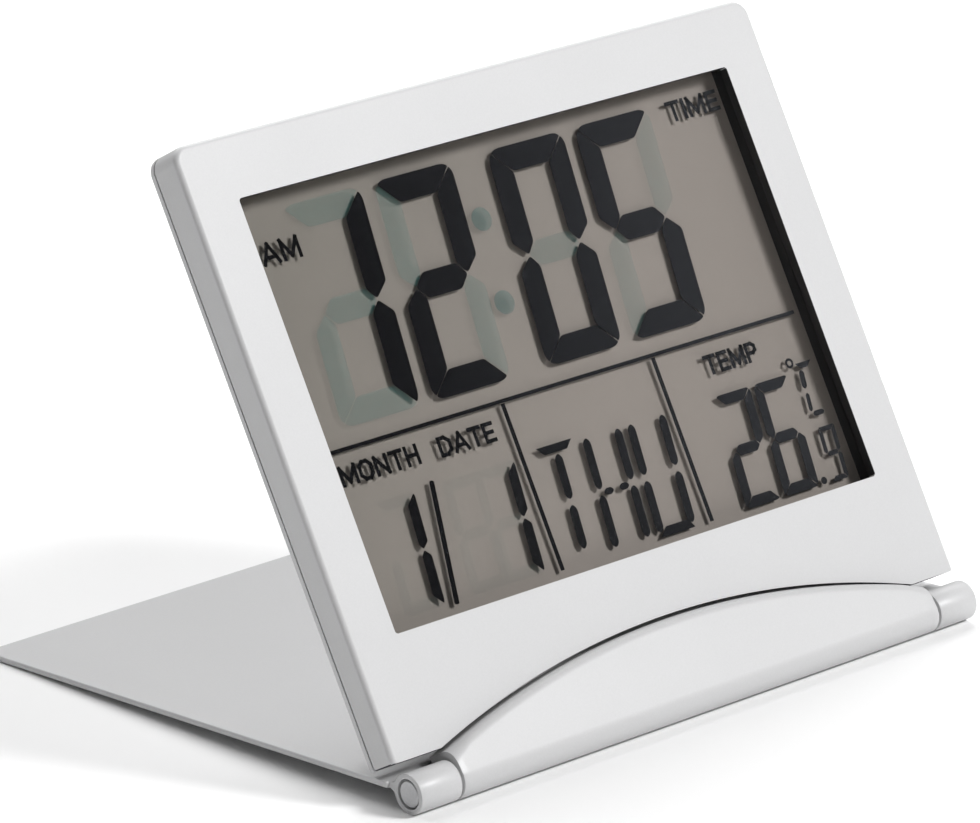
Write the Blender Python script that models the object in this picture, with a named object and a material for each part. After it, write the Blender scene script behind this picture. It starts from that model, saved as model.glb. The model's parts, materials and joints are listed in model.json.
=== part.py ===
"""Travel alarm clock: a slim silver LCD clock whose front lid folds under and behind it as a stand.

The clock is modelled open, standing on its lid. X runs along the hinge, +Z is up and the display
looks towards -Y. Everything in the case is laid out in the case's own frame, whose origin is on
the hinge axis: x to the right, y from the face to the back, z up the face. The lid is laid out in
the same frame as if it were closed over the face, and is then swung open about the axis.
"""
import math

import bmesh
import bpy
from mathutils import Vector

MM = 0.001

# ---- driving dimensions, in millimetres and degrees ---------------------------------------------
CASE_WIDTH = 108.0
CASE_BOTTOM = 4.5            # case's lower end above the hinge axis
CASE_TOP = 93.5
CASE_CORNER = 2.5            # upper corners
CASE_LOWER_CORNER = 0.4
CORNER_LEAST = 0.6           # smallest radius of an inset upper corner
CASE_LEAN = 27.5             # from upright
FACE_Y = 0.15                # front face, just behind the plane through the hinge axis
FACE_EDGE = 0.8              # rounding round the front face
DEPTH_BOTTOM = 5.4           # depth of the case's side, low down and at the top
DEPTH_TOP = 6.4
WALL = 1.2
RIM = 0.9                    # edge of the rear cover seen from the side
GAP = 0.3                    # clearance between pieces that touch
FILM_GAP = 0.1               # clearance inside the glued display stack
LAP = 0.6                    # depth by which the rear cover's step reaches into the front bezel
OVERCUT = 1.0                # how far a cutting solid runs past the face it cuts

WINDOW_HALF = 46.0
WINDOW_LOW = 21.1
WINDOW_HIGH = 84.4

BARREL = 2.9                 # hinge barrel radius
KNUCKLE_IN = 46.15
KNUCKLE_OUT = 53.4
BRIDGE_END = 45.65
ARCH_HALF = 45.3             # arched cut-out at the case's lower end
ARCH_RISE = 7.3
ARCH_PROUD = 1.3             # step of the hinge bridge's arch above the face

LID_HALF = 53.9
LID_THICK = 0.9
LID_CORNER = 2.5
LID_FILLET = 1.3
LID_NOTCH_GAP = 0.7          # between the lid's arched notch and the bridge's arch
ARCH_GAP = 0.5               # between the bridge's arch and the case's cut-out
WASHER_SEAT_RADIUS, WASHER_SEAT_DEPTH = 2.3, 0.75
WASHER_RADIUS, WASHER_THICK = 2.05, 0.4

PANEL_HALF = 50.0            # raised rear panel, at its foot
PANEL_LOW = 13.4
PANEL_HIGH = 88.0
PANEL_BACK = 11.6
PANEL_DRAFT = 1.1
PANEL_CAVITY_HALF = 47.9
PANEL_CAVITY_LOW = 15.0
PANEL_CAVITY_HIGH = 86.3
PANEL_CORNERS = (4.0, 3.2, 2.4)  # corner radii at the panel's foot, shoulder and crown
PANEL_SHOULDER = 0.8         # height of the panel's bevelled crown

GLASS_HALF = 46.5
GLASS_LOW = 17.6
GLASS_HIGH = 84.9
CONTACT_LEDGE = 2.8          # strip of the front glass that the rear glass leaves bare
LENS_THICK = 0.7
GLASS_THICK = 0.7
FILM_THICK = 0.2
HOLDER_WALL = 0.9
HOLDER_BACK = 5.35
POST_TOP = 6.6

BOARD_LEFT, BOARD_RIGHT = -45.0, 18.0
BOARD_LOW, BOARD_HIGH = 18.4, 64.0
BOARD_THICK = 0.9
SWITCH_SIZE, SWITCH_HIGH = 4.5, 0.8
BOARD_SCREWS = ((-41.0, 25.5), (15.0, 25.5), (-41.0, 50.0), (15.0, 50.0))
CHIP_CENTRE, CHIP_RADIUS, CHIP_HIGH = (-16.0, 37.0), 6.0, 1.4
CRYSTAL_X, CRYSTAL_LOW, CRYSTAL_HIGH, CRYSTAL_RADIUS = 4.0, 32.0, 38.0, 1.0
THERMISTOR_X = -36.4
THERMISTOR_LEVELS = ((0.3, 24.4), (0.75, 25.0), (0.8, 26.4), (0.75, 27.8), (0.3, 28.4))
# name, middle x and z, width, height, thickness off the board
BLOCKS = (("ceramic_capacitor", -32.0, 36.0, 2.0, 1.2, 0.9),
          ("filter_capacitor", -32.0, 40.0, 2.0, 1.2, 0.9),
          ("bias_resistor", 4.0, 44.0, 1.6, 0.8, 0.5),
          ("buzzer_coil", 10.0, 44.0, 3.2, 2.4, 1.8))
KEY_NAMES = ("mode_key", "set_key", "up_key", "down_key")
KEY_RADIUS = 2.6
KEY_FLANGE = 3.4
KEY_PROUD = 0.7
KEY_ROW_Z = 57.0
KEY_FIRST_X, KEY_PITCH = -38.0, 13.5

CELL_X, CELL_Z = 32.5, 38.0
CELL_RADIUS, CELL_THICK = 10.0, 3.2
CONTACT_THICK = 0.35
DOOR_RADIUS = 11.7
DOOR_TAB_RADIUS = 13.0
DOOR_TAB_HALF_ANGLE = 16.0
DOOR_TAB_THICK = 0.8
DOOR_TURN = 45.0             # from locked to where the tabs meet the notches
COIN_SLOT_HALF = 6.0
COIN_SLOT_WIDTH = 1.6
COIN_SLOT_DEPTH = 0.8
BUZZER_X, BUZZER_Z = 32.5, 70.0
BUZZER_RADIUS = 9.0
SOUND_HOLE_RADIUS, SOUND_RING_RADIUS = 0.6, 3.6
VENT_FIRST_X, VENT_PITCH, VENT_COUNT = -40.0, 2.4, 4
VENT_LOW, VENT_HIGH = 22.0, 30.0

PIN_RADIUS, PIN_HEAD, PIN_END = 1.0, 1.9, 39.0
CASE_SCREW_X = 50.0
CASE_SCREW_Z = (8.0, 90.4)
BOSS_RADIUS = 2.0
SHANK, SCREW_HEAD = 0.7, 1.4
BRIDGE_SCREW_X, BRIDGE_SCREW_Z = 30.0, 12.9
BRIDGE_SHANK = 0.6
BOARD_SHANK, BOARD_SCREW_HEAD = 0.65, 1.5
PILOT_EXTRA = 0.2            # radius of a screw hole over the shank in it
ROUND = 32                   # sides of a full circle

# ---- worked-out places ---------------------------------------------------------------------------
LID_INNER = -FACE_Y
LID_OUTER = LID_INNER - LID_THICK
LID_END = CASE_TOP
LID_DROP = math.degrees(math.asin((BARREL + FACE_Y) / LID_END))
OPEN_ANGLE = 360.0 - LID_DROP - (90.0 - CASE_LEAN)
LID_REACH = LID_END * math.cos(math.radians(LID_DROP))
AXIS_Y = -(LID_REACH - BARREL) / 2.0
AXIS_Z = BARREL

LENS_Y = FACE_Y + WALL + FILM_GAP
FRONT_FILM_Y = LENS_Y + LENS_THICK + FILM_GAP
FRONT_GLASS_Y = FRONT_FILM_Y + FILM_THICK + FILM_GAP
REAR_GLASS_Y = FRONT_GLASS_Y + GLASS_THICK + FILM_GAP
REFLECTOR_Y = REAR_GLASS_Y + GLASS_THICK + FILM_GAP
HOLDER_FLOOR_Y = REFLECTOR_Y + FILM_THICK + FILM_GAP
BOARD_Y = POST_TOP + GAP
BOARD_BACK = BOARD_Y + BOARD_THICK
PART_Y = BOARD_BACK + FILM_GAP
PANEL_INNER = PANEL_BACK - WALL


def rear_y(z):
    """Back of the case's side at height z; the case is a little deeper at its top."""
    rise = (z - CASE_BOTTOM) / (CASE_TOP - CASE_BOTTOM)
    return FACE_Y + DEPTH_BOTTOM + (DEPTH_TOP - DEPTH_BOTTOM) * rise


def arch_z(x, grow=0.0):
    """Height of the arch at x: a circular arc over the case's lower edge, grown outwards."""
    radius = (ARCH_HALF ** 2 + ARCH_RISE ** 2) / (2.0 * ARCH_RISE)
    centre = CASE_BOTTOM + ARCH_RISE - radius
    return centre + math.sqrt((radius + grow) ** 2 - x ** 2)


# ---- outlines ------------------------------------------------------------------------------------
def circle(radius, centre=(0.0, 0.0), sides=ROUND):
    return [(centre[0] + radius * math.cos(2 * math.pi * i / sides),
             centre[1] + radius * math.sin(2 * math.pi * i / sides)) for i in range(sides)]


def arc(centre, radius, start, end, steps):
    """Points along an arc, angles in degrees."""
    angles = [math.radians(start + (end - start) * i / steps) for i in range(steps + 1)]
    return [(centre[0] + radius * math.cos(a), centre[1] + radius * math.sin(a)) for a in angles]


def rectangle(left, right, low, high, corner=0.0, steps=5):
    if corner <= 0.0:
        return [(left, low), (right, low), (right, high), (left, high)]
    turns = ((right - corner, low + corner, -90), (right - corner, high - corner, 0),
             (left + corner, high - corner, 90), (left + corner, low + corner, 180))
    return [point for x, z, start in turns for point in arc((x, z), corner, start, start + 90, steps)]


# ---- solids --------------------------------------------------------------------------------------
def loft(rings):
    """Closed solid through rings of equal count, with a flat cap on each end."""
    bm = bmesh.new()
    loops = [[bm.verts.new(Vector(point) * MM) for point in ring] for ring in rings]
    count = len(loops[0])
    for near, far in zip(loops, loops[1:]):
        for i in range(count):
            j = (i + 1) % count
            bm.faces.new((near[i], near[j], far[j], far[i]))
    bm.faces.new(loops[0])
    bm.faces.new(loops[-1])
    bmesh.ops.recalc_face_normals(bm, faces=bm.faces)
    return bm


def prism_x(outline, low, high):
    """(y, z) outline carried along X."""
    return loft([[(x, y, z) for y, z in outline] for x in (low, high)])


def prism_y(outline, front, back):
    """(x, z) outline carried along Y; front and back are numbers or functions of z."""
    def place(end, z):
        return end(z) if callable(end) else end
    return loft([[(x, place(end, z), z) for x, z in outline] for end in (front, back)])


def disc(radius, centre, front, back, sides=ROUND):
    return prism_y(circle(radius, centre, sides), front, back)


def merged(*solids):
    """One mesh that holds several separate solids."""
    result = bmesh.new()
    for solid in solids:
        mesh = bpy.data.meshes.new("part")
        solid.to_mesh(mesh)
        solid.free()
        result.from_mesh(mesh)
        bpy.data.meshes.remove(mesh)
    return result


# ---- scene ---------------------------------------------------------------------------------------
def material(name, colour, roughness, metallic=0.0, alpha=1.0):
    result = bpy.data.materials.new(name)
    result.use_nodes = True
    shader = result.node_tree.nodes["Principled BSDF"]
    shader.inputs["Base Color"].default_value = (*colour, 1.0)
    shader.inputs["Roughness"].default_value = roughness
    shader.inputs["Metallic"].default_value = metallic
    shader.inputs["Alpha"].default_value = alpha
    result.diffuse_color = (*colour, alpha)
    return result


def frame(name, location, tilt, parent=None):
    empty = bpy.data.objects.new(name, None)
    empty.location = Vector(location) * MM
    empty.rotation_euler = (math.radians(tilt), 0.0, 0.0)
    empty.parent = parent
    bpy.context.collection.objects.link(empty)
    return empty


def add(name, solid, parent, look=None, at=(0.0, 0.0, 0.0)):
    """Make an object of a solid; 'at' is where its own origin lies in the parent's frame."""
    bmesh.ops.translate(solid, verts=solid.verts, vec=-Vector(at) * MM)
    mesh = bpy.data.meshes.new(name)
    solid.to_mesh(mesh)
    solid.free()
    mesh.shade_smooth()
    mesh.set_sharp_from_angle(angle=math.radians(32))
    if look:
        mesh.materials.append(look)
    obj = bpy.data.objects.new(name, mesh)
    obj.parent = parent
    obj.location = Vector(at) * MM
    bpy.context.collection.objects.link(obj)
    return obj


def shape(target, operation, solid, label):
    """Join, cut or keep part of a target with a Boolean; the tool solid itself isn't rendered."""
    tool = add(f"tool.{target.name}.{label}", solid, target.parent)
    tool.hide_render = True
    tool.display_type = "WIRE"
    modifier = target.modifiers.new(label, "BOOLEAN")
    modifier.operation = operation
    modifier.solver = "EXACT"
    modifier.object = tool


# ---- case shells ---------------------------------------------------------------------------------
def case_outline(inset=0.0, floor=0.0):
    """Case seen from the front, inset at its sides and top, and by 'floor' below."""
    half, top, low = CASE_WIDTH / 2 - inset, CASE_TOP - inset, CASE_BOTTOM + floor
    upper, lower = max(CASE_CORNER - inset, CORNER_LEAST), CASE_LOWER_CORNER
    return (arc((half - lower, low + lower), lower, -90, 0, 2)
            + arc((half - upper, top - upper), upper, 0, 90, 5)
            + arc((upper - half, top - upper), upper, 90, 180, 5)
            + arc((lower - half, low + lower), lower, 180, 270, 2))


def bezel_back(z):
    return rear_y(z) - RIM - GAP / 2


def build_front_bezel(case, look):
    rings = []
    for step in range(4):
        turn = math.radians(90.0 * step / 3)
        inset = FACE_EDGE * (1 - math.sin(turn))
        y = FACE_Y + FACE_EDGE * (1 - math.cos(turn))
        rings.append([(x, y, z) for x, z in case_outline(inset)])
    rings.append([(x, bezel_back(z), z) for x, z in case_outline()])
    bezel = add("front_bezel", loft(rings), case, look)

    inside = case_outline(WALL, WALL)
    shape(bezel, "DIFFERENCE", prism_y(inside, FACE_Y + WALL, PANEL_BACK), "hollow")
    bosses = [disc(BOSS_RADIUS, place, FACE_Y + WALL / 2, boss_top(place[1]), 20) for place in case_screws()]
    shape(bezel, "UNION", merged(*bosses), "screw bosses")
    pilots = [disc(SHANK + PILOT_EXTRA, place, FACE_Y + 1.0, PANEL_BACK, 16) for place in case_screws()]
    pilots += [disc(BRIDGE_SHANK + PILOT_EXTRA, place, FACE_Y + WALL / 2, FACE_Y + 2 * WALL, 16)
               for place in bridge_screws()]
    shape(bezel, "DIFFERENCE", merged(*pilots), "pilot holes")
    window = rectangle(-WINDOW_HALF, WINDOW_HALF, WINDOW_LOW, WINDOW_HIGH, 0.5, 2)
    shape(bezel, "DIFFERENCE", prism_y(window, -OVERCUT, FACE_Y + WALL + OVERCUT), "window")
    arch = arch_outline(0.0, ARCH_HALF, CASE_BOTTOM - OVERCUT)
    shape(bezel, "DIFFERENCE", prism_y(arch, -OVERCUT, FACE_Y + WALL + GAP), "arch")
    slot = rectangle(-BRIDGE_END - GAP, BRIDGE_END + GAP, CASE_BOTTOM - OVERCUT, CASE_BOTTOM + WALL + 0.1)
    shape(bezel, "DIFFERENCE", prism_y(slot, FACE_Y + WALL - 0.1, BARREL + 2 * GAP), "bridge slot")


def case_screws():
    return [(side * CASE_SCREW_X, z) for side in (-1, 1) for z in CASE_SCREW_Z]


def bridge_screws():
    return [(side * BRIDGE_SCREW_X, BRIDGE_SCREW_Z) for side in (-1, 1)]


def boss_top(z):
    return rear_y(z) - RIM - LAP - GAP


def arch_outline(grow, half, low, steps=24):
    """Arch over the lower edge, closed below the case."""
    top = [(half * (1 - 2 * i / steps), arch_z(half * (1 - 2 * i / steps), grow)) for i in range(steps + 1)]
    return [(-half, low), (half, low)] + top


def build_rear_cover(case, look):
    plate = prism_y(case_outline(), lambda z: rear_y(z) - RIM + GAP / 2, rear_y)
    cover = add("rear_cover", plate, case, look)
    inner = case_outline(WALL + GAP, WALL + GAP)
    step = prism_y(inner, lambda z: rear_y(z) - RIM - LAP, lambda z: rear_y(z) - RIM / 4)
    shape(cover, "UNION", step, "locating step")

    foot_corner, shoulder_corner, crown_corner = PANEL_CORNERS
    foot = rectangle(-PANEL_HALF, PANEL_HALF, PANEL_LOW, PANEL_HIGH, foot_corner)
    shoulder = rectangle(PANEL_DRAFT - PANEL_HALF, PANEL_HALF - PANEL_DRAFT, PANEL_LOW + PANEL_DRAFT,
                         PANEL_HIGH - PANEL_DRAFT / 2, shoulder_corner)
    crown = rectangle(2 * PANEL_DRAFT - PANEL_HALF, PANEL_HALF - 2 * PANEL_DRAFT,
                      PANEL_LOW + 2 * PANEL_DRAFT, PANEL_HIGH - 1.5 * PANEL_DRAFT, crown_corner)
    rings = [[(x, rear_y(z) - RIM / 3, z) for x, z in foot],
             [(x, PANEL_BACK - PANEL_SHOULDER, z) for x, z in shoulder],
             [(x, PANEL_BACK, z) for x, z in crown]]
    shape(cover, "UNION", loft(rings), "raised panel")
    cavity = rectangle(-PANEL_CAVITY_HALF, PANEL_CAVITY_HALF, PANEL_CAVITY_LOW, PANEL_CAVITY_HIGH, 1.6, 3)
    shape(cover, "DIFFERENCE", prism_y(cavity, 1.0, PANEL_INNER), "cavity")

    through = (PANEL_INNER - OVERCUT, PANEL_BACK + OVERCUT)
    openings = [disc(KEY_RADIUS + GAP, (x, KEY_ROW_Z), *through, 24) for x in key_places()]
    openings += [disc(SOUND_HOLE_RADIUS, place, *through, 12) for place in sound_holes()]
    openings += [prism_y(slot, *through) for slot in vent_slots()]
    openings.append(prism_y(door_hole(), *through))
    shape(cover, "DIFFERENCE", merged(*openings), "panel openings")
    holes = [disc(SHANK + 0.4, (x, z), 0.0, rear_y(z) - 0.4, 16) for x, z in case_screws()]
    recesses = [disc(SCREW_HEAD + GAP, (x, z), rear_y(z) - 0.75, rear_y(z) + OVERCUT, 20)
                for x, z in case_screws()]
    shape(cover, "DIFFERENCE", merged(*holes), "screw holes")
    shape(cover, "DIFFERENCE", merged(*recesses), "screw recesses")


def key_places():
    return [KEY_FIRST_X + KEY_PITCH * i for i in range(len(KEY_NAMES))]


def sound_holes():
    """One hole over the middle of the buzzer and six round it."""
    return [(BUZZER_X, BUZZER_Z)] + circle(SOUND_RING_RADIUS, (BUZZER_X, BUZZER_Z), 6)


def vent_slots():
    """Slots behind the thermistor."""
    places = [VENT_FIRST_X + VENT_PITCH * i for i in range(VENT_COUNT)]
    return [rectangle(x - 0.5, x + 0.5, VENT_LOW, VENT_HIGH, 0.49, 3) for x in places]


def door_hole():
    """Round hole with two notches that the door's tabs drop through once it is turned."""
    radius, notch = DOOR_RADIUS + GAP, DOOR_TAB_RADIUS + GAP
    half = DOOR_TAB_HALF_ANGLE + 3.0
    outline = []
    for start in (DOOR_TURN, DOOR_TURN + 180.0):
        outline += arc((CELL_X, CELL_Z), notch, start - half, start + half, 6)
        outline += arc((CELL_X, CELL_Z), radius, start + half, start + 180.0 - half, 18)
    return outline


# ---- hinge and lid -------------------------------------------------------------------------------
def bridge_profile():
    """Side view of the hinge bridge: barrel below, wedge-shaped front, straight back up the case."""
    tip = (-ARCH_PROUD + FACE_Y, CASE_BOTTOM + ARCH_RISE + 1.0)
    reach = math.hypot(*tip)
    tip_angle = math.atan2(tip[1], tip[0])
    touch = math.degrees(tip_angle + math.acos(BARREL / reach))
    return [tip] + arc((0.0, 0.0), BARREL, touch, 360.0, 18) + [(BARREL, tip[1])]


def build_hinge_bridge(case, look):
    bridge = add("hinge_bridge", prism_x(bridge_profile(), -BRIDGE_END, BRIDGE_END), case, look)
    keep = arch_outline(-ARCH_GAP, BRIDGE_END + OVERCUT, -BARREL - OVERCUT)
    shape(bridge, "INTERSECT", prism_y(keep, -BARREL - OVERCUT, BARREL + OVERCUT), "arch")
    flange = rectangle(-BRIDGE_END + 0.8, BRIDGE_END - 0.8, 3.0, 15.4, 1.0, 3)
    shape(bridge, "UNION", prism_y(flange, FACE_Y + WALL + GAP, BARREL - 0.001), "flange")
    holes = [disc(BRIDGE_SHANK + 0.4, place, 1.0, BARREL + OVERCUT, 16) for place in bridge_screws()]
    seats = []
    for side in (-1, 1):
        mouth = side * (BRIDGE_END + OVERCUT)
        bore = circle(PIN_RADIUS + GAP, sides=20)
        holes.append(prism_x(bore, *sorted((side * (PIN_END - 0.5), mouth))))
        seat = circle(WASHER_SEAT_RADIUS, sides=24)
        seats.append(prism_x(seat, *sorted((side * (BRIDGE_END - WASHER_SEAT_DEPTH), mouth))))
    shape(bridge, "DIFFERENCE", merged(*holes), "screw and pin holes")
    shape(bridge, "DIFFERENCE", merged(*seats), "washer seats")


def knuckle_profile():
    """Side view of a lid knuckle: a barrel that runs into the flat lid through two hollow fillets."""
    def fillet(surface, side):
        x = surface + side * LID_FILLET
        z = math.sqrt((BARREL + LID_FILLET) ** 2 - x ** 2)
        toward_barrel = math.degrees(math.atan2(-z, -x)) % 360.0
        toward_lid = 180.0 if side > 0 else 360.0
        return (x, z), toward_lid, toward_barrel
    inner_centre, inner_lid, inner_barrel = fillet(LID_INNER, 1)
    outer_centre, outer_lid, outer_barrel = fillet(LID_OUTER, -1)
    top = CASE_BOTTOM + 2.6
    barrel_start = inner_barrel - 180.0
    barrel_end = outer_barrel - 180.0
    return ([(LID_OUTER, top), (LID_INNER, top)]
            + arc(inner_centre, LID_FILLET, inner_lid, inner_barrel, 5)
            + arc((0.0, 0.0), BARREL, barrel_start, barrel_end - 360.0, 24)[1:-1]
            + arc(outer_centre, LID_FILLET, outer_barrel, outer_lid, 5))


def lid_outline():
    """Lid plate seen from the front: round upper corners and the arched notch below."""
    low = CASE_BOTTOM + 1.0
    upper = arc((LID_HALF - LID_CORNER, LID_END - LID_CORNER), LID_CORNER, 0, 90, 8)
    upper += arc((LID_CORNER - LID_HALF, LID_END - LID_CORNER), LID_CORNER, 90, 180, 8)
    steps = 24
    spots = [KNUCKLE_IN * (2 * i / steps - 1) for i in range(steps + 1)]
    notch = [(x, max(arch_z(x, LID_NOTCH_GAP), low)) for x in spots]
    return [(LID_HALF, low)] + upper + [(-LID_HALF, low)] + notch


def build_stand_lid(lid, look):
    plate = add("stand_lid", prism_y(lid_outline(), LID_OUTER, LID_INNER), lid, look)
    knuckles = [prism_x(knuckle_profile(), *sorted((side * KNUCKLE_IN, side * KNUCKLE_OUT)))
                for side in (-1, 1)]
    shape(plate, "UNION", merged(*knuckles), "knuckles")
    bores, recesses = [], []
    for side in (-1, 1):
        mouth = side * (KNUCKLE_OUT + OVERCUT)
        bore = circle(PIN_RADIUS + GAP, sides=20)
        bores.append(prism_x(bore, *sorted((side * (KNUCKLE_IN - OVERCUT), mouth))))
        recess = circle(PIN_HEAD + GAP, sides=24)
        recesses.append(prism_x(recess, *sorted((side * (KNUCKLE_OUT - 0.9), mouth))))
    shape(plate, "DIFFERENCE", merged(*bores), "pin bores")
    shape(plate, "DIFFERENCE", merged(*recesses), "pin head recesses")


def build_hinge_pins(lid, pin_look, washer_look):
    for side, word in ((-1, "left"), (1, "right")):
        outer, shoulder, end = (side * d for d in (KNUCKLE_OUT - 0.1, KNUCKLE_OUT - 0.6, PIN_END))
        head, shank = circle(PIN_HEAD, sides=24), circle(PIN_RADIUS, sides=24)
        rings = [[(outer, y, z) for y, z in head], [(shoulder, y, z) for y, z in head],
                 [(shoulder, y, z) for y, z in shank], [(end, y, z) for y, z in shank]]
        add(f"hinge_pin_{word}", loft(rings), lid, pin_look)
        near, far = side * (BRIDGE_END - 0.05 - WASHER_THICK), side * (BRIDGE_END - 0.05)
        hole, rim = circle(PIN_RADIUS + GAP / 2, sides=24), circle(WASHER_RADIUS, sides=24)
        ring = [[(near, y, z) for y, z in hole], [(far, y, z) for y, z in hole],
                [(far, y, z) for y, z in rim], [(near, y, z) for y, z in rim]]
        add(f"friction_washer_{word}", tube(ring), lid, washer_look)


def tube(rings):
    """Closed ring-shaped solid through rings that come back to the first."""
    bm = bmesh.new()
    loops = [[bm.verts.new(Vector(point) * MM) for point in ring] for ring in rings]
    count = len(loops[0])
    for k, near in enumerate(loops):
        far = loops[(k + 1) % len(loops)]
        for i in range(count):
            j = (i + 1) % count
            bm.faces.new((near[i], near[j], far[j], far[i]))
    bmesh.ops.recalc_face_normals(bm, faces=bm.faces)
    return bm


# ---- display -------------------------------------------------------------------------------------
def build_display(case, looks):
    full = rectangle(-GLASS_HALF, GLASS_HALF, GLASS_LOW, GLASS_HIGH)
    short = rectangle(-GLASS_HALF, GLASS_HALF, GLASS_LOW + CONTACT_LEDGE, GLASS_HIGH)
    layers = (("window_lens", full, LENS_Y, LENS_THICK, "clear"),
              ("front_polarizer", short, FRONT_FILM_Y, FILM_THICK, "film"),
              ("lcd_front_glass", full, FRONT_GLASS_Y, GLASS_THICK, "glass"),
              ("lcd_rear_glass", short, REAR_GLASS_Y, GLASS_THICK, "glass"),
              ("rear_reflector", short, REFLECTOR_Y, FILM_THICK, "reflector"))
    for name, outline, front, thick, look in layers:
        add(name, prism_y(outline, front, front + thick), case, looks[look])

    inset = HOLDER_WALL + 0.2
    outer = rectangle(-GLASS_HALF - inset, GLASS_HALF + inset, GLASS_LOW - inset, GLASS_HIGH + inset, 1.0, 3)
    holder = add("display_holder", prism_y(outer, FACE_Y + WALL + GAP, HOLDER_BACK), case, looks["holder"])
    posts = [disc(BOSS_RADIUS, place, HOLDER_BACK - 0.3, POST_TOP, 20) for place in BOARD_SCREWS]
    shape(holder, "UNION", merged(*posts), "board posts")
    bed = rectangle(-GLASS_HALF - 0.2, GLASS_HALF + 0.2, GLASS_LOW - 0.2, GLASS_HIGH + 0.2)
    shape(holder, "DIFFERENCE", prism_y(bed, 0.0, HOLDER_FLOOR_Y), "glass bed")
    openings = [prism_y(zebra_outline(GAP), HOLDER_FLOOR_Y - 0.5, HOLDER_BACK + 0.5)]
    openings += [disc(BOARD_SHANK + 0.15, place, HOLDER_FLOOR_Y + 0.3, POST_TOP + OVERCUT, 16)
                 for place in BOARD_SCREWS]
    shape(holder, "DIFFERENCE", merged(*openings), "strip slot and pilot holes")
    strip_front = FRONT_GLASS_Y + GLASS_THICK + FILM_GAP
    add("zebra_strip", prism_y(zebra_outline(), strip_front, BOARD_Y - FILM_GAP), case, looks["strip"])


def zebra_outline(grow=0.0):
    return rectangle(-40.0 - grow, 14.0 + grow, GLASS_LOW + 1.6 - grow, GLASS_LOW + 2.5 + grow)


# ---- electronics ---------------------------------------------------------------------------------
def chip_dome(radius, height, centre, base):
    rings = []
    for step in range(5):
        turn = math.radians(80.0 * step / 4)
        rings.append([(x, base + height * math.sin(turn), z)
                      for x, z in circle(radius * math.cos(turn), centre, 24)])
    return loft(rings)


def build_board(case, looks):
    outline = rectangle(BOARD_LEFT, BOARD_RIGHT, BOARD_LOW, BOARD_HIGH, 1.0, 2)
    board = add("circuit_board", prism_y(outline, BOARD_Y, BOARD_BACK), case, looks["board"])
    holes = [disc(BOARD_SHANK + 0.45, place, BOARD_Y - OVERCUT, BOARD_BACK + OVERCUT, 16)
             for place in BOARD_SCREWS]
    shape(board, "DIFFERENCE", merged(*holes), "screw holes")
    add("controller_chip", chip_dome(CHIP_RADIUS, CHIP_HIGH, CHIP_CENTRE, PART_Y), case, looks["epoxy"])
    crystal_axis = (CRYSTAL_X, PART_Y + CRYSTAL_RADIUS + 0.05)
    can = [[(x, y, z) for x, y in circle(CRYSTAL_RADIUS, crystal_axis, 16)]
           for z in (CRYSTAL_LOW, CRYSTAL_HIGH)]
    add("quartz_crystal", loft(can), case, looks["steel"])
    for name, x, z, wide, tall, high in BLOCKS:
        block = rectangle(x - wide / 2, x + wide / 2, z - tall / 2, z + tall / 2)
        add(name, prism_y(block, PART_Y, PART_Y + high), case, looks["component"])
    bead = [[(x, y, z) for x, y in circle(radius, (THERMISTOR_X, PART_Y + 0.85), 16)]
            for radius, z in THERMISTOR_LEVELS]
    add("thermistor", loft(bead), case, looks["component"])
    seat = BOARD_BACK + FILM_GAP
    for index, place in enumerate(BOARD_SCREWS, 1):
        solid = screw(place, BOARD_SHANK, BOARD_SCREW_HEAD, HOLDER_FLOOR_Y + 0.6, seat, 0.8)
        add(f"board_screw_{index}", solid, case, looks["steel"], at=(place[0], seat, place[1]))


def screw(place, shank, head, tip, seat, head_high):
    """Screw along Y with its driver recess, tip towards the front."""
    sides = 20
    levels = ((shank * 0.4, tip), (shank, tip + 0.4), (shank, seat), (head, seat),
              (head, seat + head_high * 0.6), (head * 0.75, seat + head_high),
              (head * 0.35, seat + head_high), (head * 0.35, seat + head_high * 0.5))
    return loft([[(x, y, z) for x, z in circle(radius, place, sides)] for radius, y in levels])


def build_keys(case, looks):
    flange_front = PART_Y + SWITCH_HIGH + 0.6
    half = SWITCH_SIZE / 2
    for index, (name, x) in enumerate(zip(KEY_NAMES, key_places()), 1):
        top = PANEL_BACK + KEY_PROUD
        levels = ((KEY_FLANGE, flange_front), (KEY_FLANGE, PANEL_INNER - 0.4),
                  (KEY_RADIUS, PANEL_INNER - 0.4), (KEY_RADIUS, top - 0.3), (KEY_RADIUS - 0.3, top))
        rings = [[(px, y, pz) for px, pz in circle(radius, (x, KEY_ROW_Z), 28)] for radius, y in levels]
        add(name, loft(rings), case, looks["key"], at=(x, flange_front, KEY_ROW_Z))
        block = rectangle(x - half, x + half, KEY_ROW_Z - half, KEY_ROW_Z + half)
        add(f"key_switch_{index}", prism_y(block, PART_Y, PART_Y + SWITCH_HIGH), case, looks["component"])


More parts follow.
